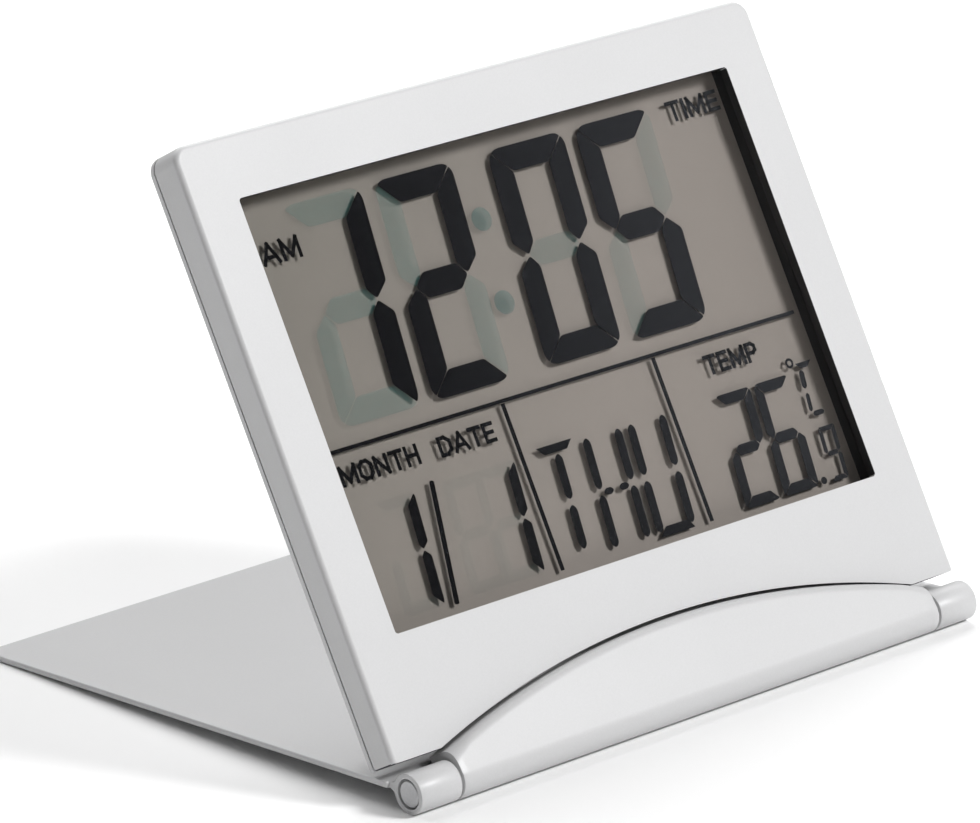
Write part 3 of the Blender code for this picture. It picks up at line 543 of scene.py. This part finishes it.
def door_hole():
    """Round hole with two notches for the door's tabs."""
    tab_reach = (DOOR_HIGH.x - DOOR_LOW.x) / 2
    outline = []
    turn = DOOR_NOTCH_TURN
    for start in (45.0, 225.0):
        outline += arc(door_centre(), tab_reach + GAP, start - turn, start + turn, 10)
        outline += arc(door_centre(), tab_reach - DOOR_HOLE_INSET, start + turn, start + 180.0 - turn, 36)
    return outline


def back_panel():
    """Raised part of the cover: drafted sides, then a rounded shoulder."""
    def ring(inset, top_inset, corner, y):
        outline = rectangle(inset - PANEL_HALF, PANEL_HALF - inset, PANEL_LOW + inset,
                            PANEL_HIGH - top_inset, corner)
        return [(x, y(z) if callable(y) else y, z) for x, z in outline]
    shoulder_y = PANEL_BACK - PANEL_SHOULDER
    rings = [ring(0.0, 0.0, PANEL_FOOT_CORNER, lambda z: rear_y(z) - GAP),
             ring(PANEL_DRAFT, PANEL_DRAFT / 2, PANEL_CORNER, shoulder_y)]
    steps = 6
    for step in range(1, steps + 1):
        turn = math.radians(90.0 * step / steps)
        bend = PANEL_SHOULDER * (1 - math.cos(turn))
        rings.append(ring(PANEL_DRAFT + bend, PANEL_DRAFT / 2 + bend, PANEL_CORNER - bend,
                          shoulder_y + PANEL_SHOULDER * math.sin(turn)))
    return loft(rings)


def build_cover(looks):
    plate = prism_y(case_outline(), lambda z: rear_y(z) - RIM + GAP / 2, rear_y)
    cover = piece("cover_shell", plate, looks["silver"])
    inner = case_outline(WALL + GAP, WALL + GAP)
    boolean(cover, "UNION", prism_y(inner, lambda z: rear_y(z) - RIM - RIM_STEP,
                                    lambda z: rear_y(z) - RIM_COVERED))
    boolean(cover, "UNION", back_panel())
    boolean(cover, "DIFFERENCE", prism_y(rectangle(*PANEL_CAVITY, CAVITY_CORNER), 1.0, PANEL_INNER))

    through = (PANEL_INNER - OVERCUT, PANEL_BACK + OVERCUT)
    holes = [prism_y(circle(KEY_RADIUS + GAP, centre), *through) for centre in key_centres()]
    buzzer = buzzer_centre()
    sounds = [buzzer] + circle(SOUND_RING, buzzer, 6)
    holes += [prism_y(circle(SOUND_HOLE, place, 24), *through) for place in sounds]
    vents = [VENT_X + VENT_STEP * i for i in range(4)]
    holes += [prism_y(rectangle(x - VENT_HALF, x + VENT_HALF, VENT_LOW, VENT_HIGH, VENT_HALF - HAIR, 5),
                      *through) for x in vents]
    holes.append(prism_y(door_hole(), *through))
    boolean(cover, "DIFFERENCE", merged(*holes))
    places = [(side * SCREW_X, z) for side in (-1, 1) for z in SCREW_Z]
    shanks = [prism_y(circle(SCREW_BORE, place, 32), 0.0, rear_y(place[1]) - SHANK_END) for place in places]
    heads = [prism_y(circle(SCREW_SEAT, place, 40), rear_y(place[1]) - SCREW_SUNK,
                     rear_y(place[1]) + OVERCUT) for place in places]
    boolean(cover, "DIFFERENCE", merged(*shanks))
    boolean(cover, "DIFFERENCE", merged(*heads))
    soften(cover, COVER_SOFT)
    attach(cover, "case")
    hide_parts("rear_cover")


# ---- hinge -----------------------------------------------------------------------------------------
def bridge_section(x, shrink=0.0):
    """Side view of the hinge bridge at x: barrel, sloping front, softly rounded upper edge."""
    tip = (FACE_Y - ARCH_PROUD, CASE_BOTTOM + ARCH_RISE + 1.0)
    touch = math.atan2(tip[1], tip[0]) + math.acos(BARREL / math.hypot(*tip))
    foot = Vector((BARREL * math.cos(touch), BARREL * math.sin(touch)))
    slope = (Vector(tip) - foot).normalized()
    top = arch_z(x, -0.5)
    rise = top - foot.y
    flat = min(max(rise / END_BLEND - END_START, 0.0), 1.0)
    edge = rise * END_ROUND * (1.0 - flat) + min(ARCH_EDGE, rise / 2) * flat
    # centre of the rounding: one radius below the top and one behind the sloping front
    normal = Vector((-slope.y, slope.x))
    centre_z = top - edge
    run = (centre_z - foot.y + normal.y * edge) / slope.y
    centre = foot + slope * run - normal * edge
    start = math.degrees(math.atan2(normal.y, normal.x))
    points = [(BARREL, 0.0), (BARREL, top)]
    points += arc((centre.x, centre_z), edge, 90.0, start, 10)
    points += arc((0.0, 0.0), BARREL, math.degrees(touch), 360.0, 40)[:-1]
    middle = Vector((0.0, top / 3))
    return [tuple(middle + (Vector(p) - middle) * (1.0 - shrink / 4.0)) for p in points]


def build_bridge(looks):
    soft = BRIDGE_SOFT
    stations = [(-BRIDGE_END, soft), (-BRIDGE_END + 0.3 * soft, 0.3 * soft), (-BRIDGE_END + soft, 0.0)]
    steps = 80
    span = BRIDGE_END - soft
    stations += [(span * (2 * i / steps - 1), 0.0) for i in range(1, steps)]
    stations += [(-x, shrink) for x, shrink in reversed(stations[:3])]
    rings = []
    for x, shrink in stations:
        rings.append([(x, y, z) for y, z in bridge_section(min(max(x, -span), span), shrink)])
    bridge = piece("arch_bridge", loft(rings), looks["silver"], soft_angle=40.0)
    for side in (-1, 1):
        for (radius, depth), sides in (((PIN_BORE, SHANK_ROOM), 32), (WASHER_SEAT, 40)):
            near, far = sorted((side * (BRIDGE_END - depth), side * (BRIDGE_END + OVERCUT)))
            boolean(bridge, "DIFFERENCE", rod(((radius, near), (radius, far)), sides))
    crease(bridge, 40.0)
    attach(bridge, "case")
    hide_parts("hinge_bridge")


def knuckle_section(shrink=0.0):
    """Side view of a knuckle: the barrel, run out into the lid plate by a fillet on each face."""
    def fillet(surface, side):
        x = surface + side * LID_FILLET
        z = math.sqrt((BARREL + LID_FILLET) ** 2 - x ** 2)
        toward_barrel = math.degrees(math.atan2(-z, -x)) % 360.0
        return (x, z), 180.0 if side > 0 else 360.0, toward_barrel
    inner_centre, inner_lid, inner_barrel = fillet(LID_INNER, 1)
    outer_centre, outer_lid, outer_barrel = fillet(LID_OUTER, -1)
    hair = 0.004    # keeps the knuckle's flat sides just inside the plate's faces
    points = ([(LID_OUTER + hair, KNUCKLE_TOP), (LID_INNER - hair, KNUCKLE_TOP)]
              + arc(inner_centre, LID_FILLET, inner_lid, inner_barrel, 12)
              + arc((0.0, 0.0), BARREL, inner_barrel - 180.0, outer_barrel - 540.0, 56)[1:-1]
              + arc(outer_centre, LID_FILLET, outer_barrel, outer_lid, 12))
    scale = 1.0 - shrink / BARREL
    return [(y * scale, z * scale) for y, z in points]


def lid_outline():
    """Lid plate: rounded far corners, and a notch along the hinge that clears the arch."""
    upper = arc((LID_HALF - LID_CORNER, LID_END - LID_CORNER), LID_CORNER, 0, 90, 20)
    upper += arc((LID_CORNER - LID_HALF, LID_END - LID_CORNER), LID_CORNER, 90, 180, 20)
    steps = 72
    spots = [KNUCKLE_IN * (2 * i / steps - 1) for i in range(steps + 1)]
    notch = [(x, max(arch_z(x, LID_NOTCH_GAP), NOTCH_LEAST)) for x in spots]
    left = [(-LID_HALF, LID_FOOT), (-KNUCKLE_IN, LID_FOOT)]
    return [(LID_HALF, LID_FOOT)] + upper + left + notch + [(KNUCKLE_IN, LID_FOOT)]


def build_lid(looks):
    lid = piece("lid_plate", prism_y(lid_outline(), LID_OUTER, LID_INNER), looks["silver"], place=LID_FRAME)
    soften(lid, LID_SOFT, 4)
    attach(lid, "lid")
    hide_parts("stand_lid")
    soft = KNUCKLE_SOFT
    for side, word in ((-1, "left"), (1, "right")):
        stations = ((KNUCKLE_IN, soft), (KNUCKLE_IN + 0.3 * soft, 0.3 * soft), (KNUCKLE_IN + soft, 0.0),
                    (KNUCKLE_OUT - soft, 0.0), (KNUCKLE_OUT - 0.3 * soft, 0.3 * soft), (KNUCKLE_OUT, soft))
        rings = [[(side * x, y, z) for y, z in knuckle_section(shrink)] for x, shrink in stations]
        knuckle = piece(f"knuckle_{word}", loft(rings), looks["silver"], place=LID_FRAME, soft_angle=40.0)
        for radius, depth in ((PIN_BORE, KNUCKLE_OUT - KNUCKLE_IN + OVERCUT), KNUCKLE_SEAT):
            near, far = sorted((side * (KNUCKLE_OUT - depth), side * (KNUCKLE_OUT + OVERCUT)))
            boolean(knuckle, "DIFFERENCE", rod(((radius, near), (radius, far))), LID_FRAME)
        crease(knuckle, 40.0)
        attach(knuckle, "lid")
        build_pin(side, word, looks)


def build_pin(side, word, looks):
    """Hinge pin: shank, and a head that is dished a little in its middle."""
    head_face, shank_end = PIN_HIGH.x, PIN_LOW.x
    head_back = head_face - PIN_HEAD_THICK
    profile = ((0.05, head_face - 0.12), (0.9, head_face - 0.08), (1.3, head_face),
               (PIN_HEAD - 0.15, head_face), (PIN_HEAD, head_face - 0.12), (PIN_HEAD, head_back),
               (PIN_SHANK, head_back), (PIN_SHANK, shank_end + 0.3), (PIN_SHANK - 0.2, shank_end))
    solid = rod([(radius, side * x) for radius, x in profile], 48)
    pin = piece(f"pin_{word}", solid, looks["pin"], "lid", LID_FRAME)
    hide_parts(f"hinge_pin_{word}")


# ---- display ---------------------------------------------------------------------------------------
def rounded(points, radius):
    """Outline with each corner turned into a short curve."""
    result = []
    count = len(points)
    for i, corner in enumerate(points):
        here = Vector(corner)
        before, after = Vector(points[i - 1]), Vector(points[(i + 1) % count])
        reach = min(radius, (before - here).length * 0.45, (after - here).length * 0.45)
        start = here + (before - here).normalized() * reach
        end = here + (after - here).normalized() * reach
        for t in (0.0, 0.33, 0.67, 1.0):
            result.append(tuple(start * (1 - t) ** 2 + here * 2 * t * (1 - t) + end * t ** 2))
    return result


def shrunk(points, amount):
    """Outline moved inwards by an amount, for the hairline gap between segments."""
    area = sum(a[0] * b[1] - b[0] * a[1] for a, b in zip(points, points[1:] + points[:1]))
    turn = 1.0 if area > 0 else -1.0
    result = []
    for i, corner in enumerate(points):
        here = Vector(corner)
        before, after = Vector(points[i - 1]), Vector(points[(i + 1) % len(points)])
        near, far = (here - before).normalized(), (after - here).normalized()
        inward = (Vector((-near.y, near.x)) + Vector((-far.y, far.x))) * turn
        bend = max(0.35, 1.0 + near.dot(far))
        result.append(tuple(here + inward * (amount / bend)))
    return result


def seven_segments(width, height, thick):
    """The seven segments of an upright figure, its lower left corner at the origin."""
    corner = thick * 0.55
    half, shoulder = height / 2, thick * 0.56
    inner = thick * 0.62
    near, far = (corner, height - corner), (width - corner, height - corner)
    top = (arc(near, corner, 135.0, 90.0, 3) + arc(far, corner, 90.0, 45.0, 3)
           + [(width - thick, height - thick), (thick, height - thick)])
    upper_right = arc(far, corner, 45.0, 0.0, 3) + [
        (width, half + shoulder), (width - inner, half), (width - thick, half + thick * 0.45),
        (width - thick, height - thick)]
    left, right, tall = inner + shoulder * 0.8, width - inner - shoulder * 0.8, thick / 2
    middle = [(inner, half), (left, half + tall), (right, half + tall),
              (width - inner, half), (right, half - tall), (left, half - tall)]

    def flip_x(points):
        return [(width - x, z) for x, z in points]

    def flip_z(points):
        return [(x, height - z) for x, z in points]
    return {"a": top, "b": upper_right, "c": flip_z(upper_right), "d": flip_z(top),
            "e": flip_z(flip_x(upper_right)), "f": flip_x(upper_right), "g": middle}


LIT = {"0": "abcdef", "1": "bc", "2": "abged", "5": "afgcd", "6": "afgcde", "9": "abcdfg", "8": "abcdefg"}


def slanted(points, left, low, middle):
    """Outline moved into place and leaned to the right about its middle height."""
    return [(left + x + SLANT * (z - middle), low + z) for x, z in points]


def figure(sign, left, low, width, height, thick, gap=DIGIT_GAP, ghosts=""):
    """Lit and ghost outlines of one seven-segment figure; left is its left side at mid-height."""
    segments = seven_segments(width, height, thick)

    def shape_of(letter):
        outline = shrunk(segments[letter], gap / 2)
        return rounded(slanted(outline, left, low, height / 2), thick * 0.12)
    return [shape_of(s) for s in LIT[sign]], [shape_of(s) for s in ghosts]


def bar(x0, z0, x1, z1, width, ends=0.5, softness=0.3):
    """Straight bar between two points with pointed ends, a little rounded."""
    start, end = Vector((x0, z0)), Vector((x1, z1))
    along = (end - start).normalized()
    across = Vector((-along.y, along.x)) * width / 2
    cap = along * width * ends
    points = [start, start + cap + across, end - cap + across, end, end - cap - across, start + cap - across]
    return rounded([tuple(p) for p in points], width * softness)


def ring_outline(centre, outer, inner, sides=32):
    """Ring cut open by a hairline, so that it is one outline."""
    return arc(centre, outer, 0.5, 359.5, sides) + arc(centre, inner, 359.5, 0.5, sides)


def sheet_of(outlines, front, thick):
    """Thin plates, one for each outline."""
    return merged(*[prism_y(outline, front, front + thick) for outline in outlines])


def time_figures():
    low, width, height, thick = 50.2, 14.5, 32.0, 3.9
    cells = (("1", -38.85, "aged"), ("2", -22.05, "fc"), ("0", -0.8, "g"), ("5", 15.9, "be"))
    lit, ghosts = [], []
    for sign, left, unlit in cells:
        dark, faint = figure(sign, left, low, width, height, thick, ghosts=unlit)
        lit += dark
        ghosts += faint
    return lit, ghosts


def calendar_figures():
    low, width, height, thick = 22.9, 7.4, 16.4, 1.75
    lit, ghosts = [], []
    for sign, left, unlit in (("1", -40.35, "ade"), ("8", -28.1, ""), ("1", -21.8, "aged")):
        dark, faint = figure(sign, left, low, width, height, thick, 0.12, unlit)
        if sign == "8":
            faint, dark = dark, []
        lit += dark
        ghosts += faint
    lit.append(bar(-31.85, 22.5, -28.75, 39.9, 0.85, 0.1))
    return lit, ghosts


def weekday_letters():
    """T, H and U of bars that lean like the figures; each upright is an upper and a lower bar."""
    low, middle, high, thick = 23.0, 31.15, 39.2, 1.4

    split = 0.3

    def upright(x, top=high, foot=low):
        return [bar(x + SLANT * split, middle + split, x + SLANT * (top - middle), top, thick),
                bar(x + SLANT * (foot - middle), foot, x - SLANT * split, middle - split, thick)]
    outlines = [[(-9.4, 39.7), (-2.7, 39.7), (-4.0, 38.5), (-8.2, 38.5)]]
    outlines += upright(-6.6, 38.3, 24.2)
    for x in (-0.95, 5.1, 7.65, 13.7):
        outlines += upright(x)
    crossbar = [(-1.0, 0.0), (-0.5, 0.5), (0.5, 0.5), (1.0, 0.0), (0.5, -0.5), (-0.5, -0.5)]
    outlines += [rounded(slanted(crossbar, x, 31.0, 0.0), 0.3) for x in (0.55, 3.5)]
    outlines.append(rounded([(6.8, 22.4), (13.3, 22.4), (12.4, 23.75), (8.1, 23.75)], 0.2))
    return outlines


def temperature_figures():
    lit, _ = figure("2", 24.1, 22.35, 7.0, 16.9, 1.7, 0.12)
    six, _ = figure("6", 31.75, 22.35, 7.0, 16.9, 1.7, 0.12)
    nine, _ = figure("9", 40.95, 22.25, 3.3, 8.2, 0.8, 0.08)
    lit += six + nine
    lit.append(circle(0.55, (39.1, 22.9), 20))
    lit.append(ring_outline((40.55, 40.6), 0.75, 0.38))
    lit.append([(41.5, 40.25), (44.6, 40.25), (43.6, 39.4), (42.3, 39.4)])
    lit += [bar(41.75, 36.3, 42.2, 39.3, 0.95), bar(41.4, 32.9, 41.8, 35.8, 0.7),
            bar(41.5, 32.55, 43.8, 32.55, 0.8)]
    return lit


# strokes of each capital, in parts of its own width and of the common height
STROKES = {
    "A": (2.8, (((0.0, 0.0), (0.5, 1.0), (1.0, 0.0)), ((0.18, 0.3), (0.82, 0.3)))),
    "D": (2.3, (((0.0, 0.0), (0.0, 1.0), (0.6, 1.0), (1.0, 0.75), (1.0, 0.25), (0.6, 0.0), (0.0, 0.0)),)),
    "E": (1.9, (((1.0, 0.0), (0.0, 0.0), (0.0, 1.0), (1.0, 1.0)), ((0.0, 0.5), (0.9, 0.5)))),
    "H": (2.2, (((0.0, 0.0), (0.0, 1.0)), ((1.0, 0.0), (1.0, 1.0)), ((0.0, 0.5), (1.0, 0.5)))),
    "I": (0.0, (((0.0, 0.0), (0.0, 1.0)),)),
    "M": (3.0, (((0.0, 0.0), (0.0, 1.0), (0.5, 0.1), (1.0, 1.0), (1.0, 0.0)),)),
    "N": (2.3, (((0.0, 0.0), (0.0, 1.0), (1.0, 0.0), (1.0, 1.0)),)),
    "O": (2.4, (((0.3, 0.0), (0.0, 0.25), (0.0, 0.75), (0.3, 1.0), (0.7, 1.0), (1.0, 0.75), (1.0, 0.25),
                 (0.7, 0.0), (0.3, 0.0)),)),
    "P": (2.0, (((0.0, 0.0), (0.0, 1.0), (0.7, 1.0), (1.0, 0.85), (1.0, 0.6), (0.7, 0.45), (0.0, 0.45)),)),
    "S": (2.1, (((1.0, 0.85), (0.7, 1.0), (0.3, 1.0), (0.0, 0.8), (0.0, 0.65), (1.0, 0.35), (1.0, 0.2),
                 (0.7, 0.0), (0.3, 0.0), (0.0, 0.15)),)),
    "T": (2.3, (((0.0, 1.0), (1.0, 1.0)), ((0.5, 0.0), (0.5, 1.0)))),
    "U": (2.2, (((0.0, 1.0), (0.0, 0.25), (0.3, 0.0), (0.7, 0.0), (1.0, 0.25), (1.0, 1.0)),)),
    "W": (3.2, (((0.0, 1.0), (0.25, 0.0), (0.5, 0.9), (0.75, 0.0), (1.0, 1.0)),)),
}
LETTER_SPACE = 1.0


def label(word, left, low, width, height, stroke):
    """Outlines of a plain word in narrow capitals, fitted to a given width and height."""
    natural = sum(STROKES[letter][0] for letter in word) + LETTER_SPACE * (len(word) - 1)
    scale = (width - stroke) / natural
    x = left + stroke / 2
    outlines = []
    for letter in word:
        letter_width, lines = STROKES[letter]
        for line in lines:
            spots = [(x + u * letter_width * scale, low + stroke / 2 + v * (height - stroke))
                     for u, v in line]
            for start, end in zip(spots, spots[1:]):
                outlines.append(stroke_bar(start, end, stroke))
        x += (letter_width + LETTER_SPACE) * scale
    return outlines


def stroke_bar(start, end, width):
    """One stroke with square ends, half a width longer than its two points at each end."""
    start, end = Vector(start), Vector(end)
    along = (end - start).normalized() * width / 2
    across = Vector((-along.y, along.x))
    corners = (start - along + across, end + along + across, end + along - across, start - along - across)
    return [tuple(corner) for corner in corners]


def build_display(looks):
    time_lit, time_ghost = time_figures()
    day_lit, day_ghost = calendar_figures()
    rules = [rectangle(*sides, 0.05, 2) for sides in RULES]
    lit = time_lit + day_lit + weekday_letters() + temperature_figures() + rules
    segments = piece("display_segments", sheet_of(lit, DISPLAY_Y, DISPLAY_THICK), looks["ink"], "case")
    colon = [circle(1.75, (-4.35, 73.0), 32), circle(1.75, (-5.6, 60.8), 32)]
    unlit_figures = (("time_ghost", time_ghost, "ghost"), ("calendar_ghost", day_ghost, "faint_ghost"),
                     ("colon_ghost", colon, "colon_ghost"))
    for name, outlines, look in unlit_figures:
        unlit = piece(name, sheet_of(outlines, DISPLAY_Y, DISPLAY_THICK / 2), looks[look], "case")
    letters = [outline for word in DISPLAY_WORDS for outline in label(*word, LABEL_STROKE)]
    labels = piece("display_labels", sheet_of(letters, DISPLAY_Y, DISPLAY_THICK / 2), looks["ink"], "case")


# ---- back of the case ------------------------------------------------------------------------------
def build_keys(looks):
    for name, word, centre in zip(KEYS, KEY_WORDS, key_centres()):
        low, high = local_box(name)
        top, flange = high.y, (high.x - low.x) / 2
        shelf = PANEL_INNER - 0.4
        profile = ((flange, low.y), (flange, shelf), (KEY_RADIUS, shelf), (KEY_RADIUS, top - 0.45),
                   (KEY_RADIUS - 0.05, top - 0.25), (KEY_RADIUS - 0.2, top - 0.08),
                   (KEY_RADIUS - 0.45, top), (KEY_RADIUS - 0.8, top - 0.03), (1.1, top - 0.2),
                   (0.5, top - 0.26), (0.05, top - 0.27))
        key = piece(f"{name}_cap", turned(profile, centre), looks["key"], name, soft_angle=50.0)
        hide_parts(name)
        print_word(f"{name}_word", word, centre[0], centre[1] + 5.2, 1.5, looks)


def print_word(name, word, x, z, height, looks):
    """Word printed on the back panel, centred on x; it reads from behind."""
    width = height * 0.8 * len(word)
    letters = label(word, -width / 2, 0.0, width, height, height * 0.17)
    mirrored = [[(x - u, z + v) for u, v in outline] for outline in letters]
    printed = piece(name, sheet_of(mirrored, PANEL_BACK - 0.02, 0.03), looks["print"], "case")


def build_door(looks):
    centre = door_centre()
    radius = (DOOR_HIGH.x - DOOR_LOW.x) / 2 - DOOR_TAB
    edge = 0.25
    profile = ((radius, PANEL_INNER - GAP), (radius, PANEL_BACK - edge), (radius - 0.07, PANEL_BACK - 0.07),
               (radius - edge, PANEL_BACK), (radius - DOOR_LIP, PANEL_BACK),
               (radius - DOOR_LIP - edge, PANEL_BACK - edge), (0.05, PANEL_BACK - edge))
    door = piece("door_cap", turned(profile, centre, 96), looks["silver"])
    turn, seat = DOOR_TAB_TURN, PANEL_INNER - GAP
    for start in (0.0, 180.0):
        tab = (arc(centre, radius + DOOR_TAB, start - turn, start + turn, 12)
               + arc(centre, DOOR_TAB_ROOT, start + turn, start - turn, 12))
        boolean(door, "UNION", prism_y(tab, seat - DOOR_TAB_THICK, seat + 0.01))
    (x, z), half, tall = centre, COIN_SLOT_HALF, COIN_SLOT_HALF_WIDTH
    slot = rectangle(x - half, x + half, z - tall, z + tall, tall - HAIR, 8)
    boolean(door, "DIFFERENCE", prism_y(slot, PANEL_BACK - OVERCUT, PANEL_BACK + OVERCUT))
    soften(door, DOOR_SOFT, 2)
    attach(door, "battery_door")
    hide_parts("battery_door")


def build_case_screws(looks):
    """Pan-head screws, each with its cross recess turned a little further than the last."""
    places = [(side * SCREW_X, z) for side in (-1, 1) for z in SCREW_Z]
    for index, centre in enumerate(places, 1):
        low, high = local_box(f"case_screw_{index}")
        top = high.y
        profile = ((0.25, low.y), (SCREW_SHANK, low.y + 0.4), (SCREW_SHANK, top - 0.6),
                   (SCREW_HEAD, top - 0.6), (SCREW_HEAD, top - 0.25), (SCREW_HEAD - 0.1, top - 0.1),
                   (SCREW_HEAD - 0.4, top - 0.02), (0.05, top))
        screw = piece(f"case_screw_head_{index}", turned(profile, centre, 40), looks["steel"])
        for turn in (0.0, 90.0):
            blade = bmesh.new()
            bmesh.ops.create_cube(blade, size=1.0)
            blade.transform(Matrix.Translation((centre[0], top, centre[1]))
                            @ Matrix.Rotation(math.radians(turn + 20.0 * index), 4, "Y")
                            @ Matrix.Diagonal((1.7, 0.7, 0.32, 1.0)))
            boolean(screw, "DIFFERENCE", blade)
        crease(screw, 35.0)
        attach(screw, "case")
        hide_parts(f"case_screw_{index}")


# ---- carried-over CAD nodes ------------------------------------------------------------------------
CAD_LOOKS = {
    "lens": ("window_lens",),
    "film": ("front_polarizer",),
    "glass": ("lcd_front_glass", "lcd_rear_glass"),
    "reflector": ("rear_reflector",),
    "holder": ("display_holder",),
    "strip": ("zebra_strip",),
    "board": ("circuit_board",),
    "epoxy": ("controller_chip",),
    "component": ("ceramic_capacitor", "filter_capacitor", "bias_resistor", "buzzer_coil", "thermistor",
                  "key_switch_1", "key_switch_2", "key_switch_3", "key_switch_4"),
    "steel": ("quartz_crystal", "button_cell", "board_screw_1", "board_screw_2", "board_screw_3",
              "board_screw_4", "bridge_screw_left", "bridge_screw_right"),
    "spring": ("battery_contact_negative", "battery_contact_positive"),
    "brass": ("buzzer_plate",),
    "ceramic": ("buzzer_ceramic",),
    "nylon": ("friction_washer_left", "friction_washer_right"),
}


def dress_cad_nodes(looks):
    for look, names in CAD_LOOKS.items():
        for name in names:
            materials = frame["nodes"][name].data.materials
            materials.clear()
            materials.append(looks[look])


# ---- studio ----------------------------------------------------------------------------------------
CAMERA_AZIMUTH, CAMERA_ELEVATION, CAMERA_ROLL = 41.03, 17.65, -2.27
CAMERA_DISTANCE = 0.904
CAMERA_LENS = 240.5
CAMERA_TARGET = Vector((-20.85, 17.5, 45.7)) * MM


def build_camera():
    azimuth, elevation = math.radians(CAMERA_AZIMUTH), math.radians(CAMERA_ELEVATION)
    camera = bpy.data.objects.new("camera", bpy.data.cameras.new("camera"))
    camera.data.lens = CAMERA_LENS
    camera.data.sensor_width = 36.0
    camera.data.clip_start = 0.05
    away = Vector((-math.sin(azimuth) * math.cos(elevation), -math.cos(azimuth) * math.cos(elevation),
                   math.sin(elevation)))
    target = Vector((0.0, HINGE.y, 0.0)) + CAMERA_TARGET
    turn = (Matrix.Rotation(-azimuth, 4, "Z") @ Matrix.Rotation(math.pi / 2 - elevation, 4, "X")
            @ Matrix.Rotation(math.radians(CAMERA_ROLL), 4, "Z"))
    camera.matrix_world = Matrix.Translation(target + away * CAMERA_DISTANCE) @ turn
    bpy.context.scene.collection.objects.link(camera)
    bpy.context.scene.camera = camera


def add_light(name, place, size, power, aim=(0.0, 0.0, 0.04)):
    light = bpy.data.lights.new(name, "AREA")
    light.shape = "RECTANGLE"
    light.size, light.size_y = size
    light.energy = power
    obj = bpy.data.objects.new(name, light)
    obj.location = place
    obj.rotation_euler = (Vector(aim) - Vector(place)).to_track_quat("-Z", "Y").to_euler()
    bpy.context.scene.collection.objects.link(obj)


def build_studio():
    bm = bmesh.new()
    bmesh.ops.create_grid(bm, x_segments=1, y_segments=1, size=4.0)
    mesh = bpy.data.meshes.new("floor")
    bm.to_mesh(mesh)
    bm.free()
    floor = bpy.data.objects.new("floor", mesh)
    bpy.context.scene.collection.objects.link(floor)
    material, _ = new_material("floor_white", (0.93, 0.93, 0.93), 0.8)
    mesh.materials.append(material)

    world = bpy.data.worlds.new("studio")
    world.use_nodes = True
    world.node_tree.nodes["Background"].inputs["Color"].default_value = (1.0, 1.0, 1.0, 1.0)
    world.node_tree.nodes["Background"].inputs["Strength"].default_value = 0.15
    bpy.context.scene.world = world
    add_light("front_right", (1.12, -1.74, 1.64), (0.65, 0.65), 60.0)
    add_light("front_left", (-0.45, -1.05, 0.60), (0.2, 0.2), 0.8)
    add_light("back_left", (-0.06, 0.92, 0.92), (0.8, 0.8), 9.5)
    add_light("back_right", (0.70, 0.58, 0.93), (0.8, 0.8), 9.0)
    bpy.context.scene.view_settings.view_transform = "Standard"
    bpy.context.scene.cycles.transparent_max_bounces = 24


def main():
    looks = build_looks()
    build_bezel(looks)
    build_cover(looks)
    build_bridge(looks)
    build_lid(looks)
    build_display(looks)
    build_keys(looks)
    build_door(looks)
    build_case_screws(looks)
    dress_cad_nodes(looks)
    build_camera()
    build_studio()


main()
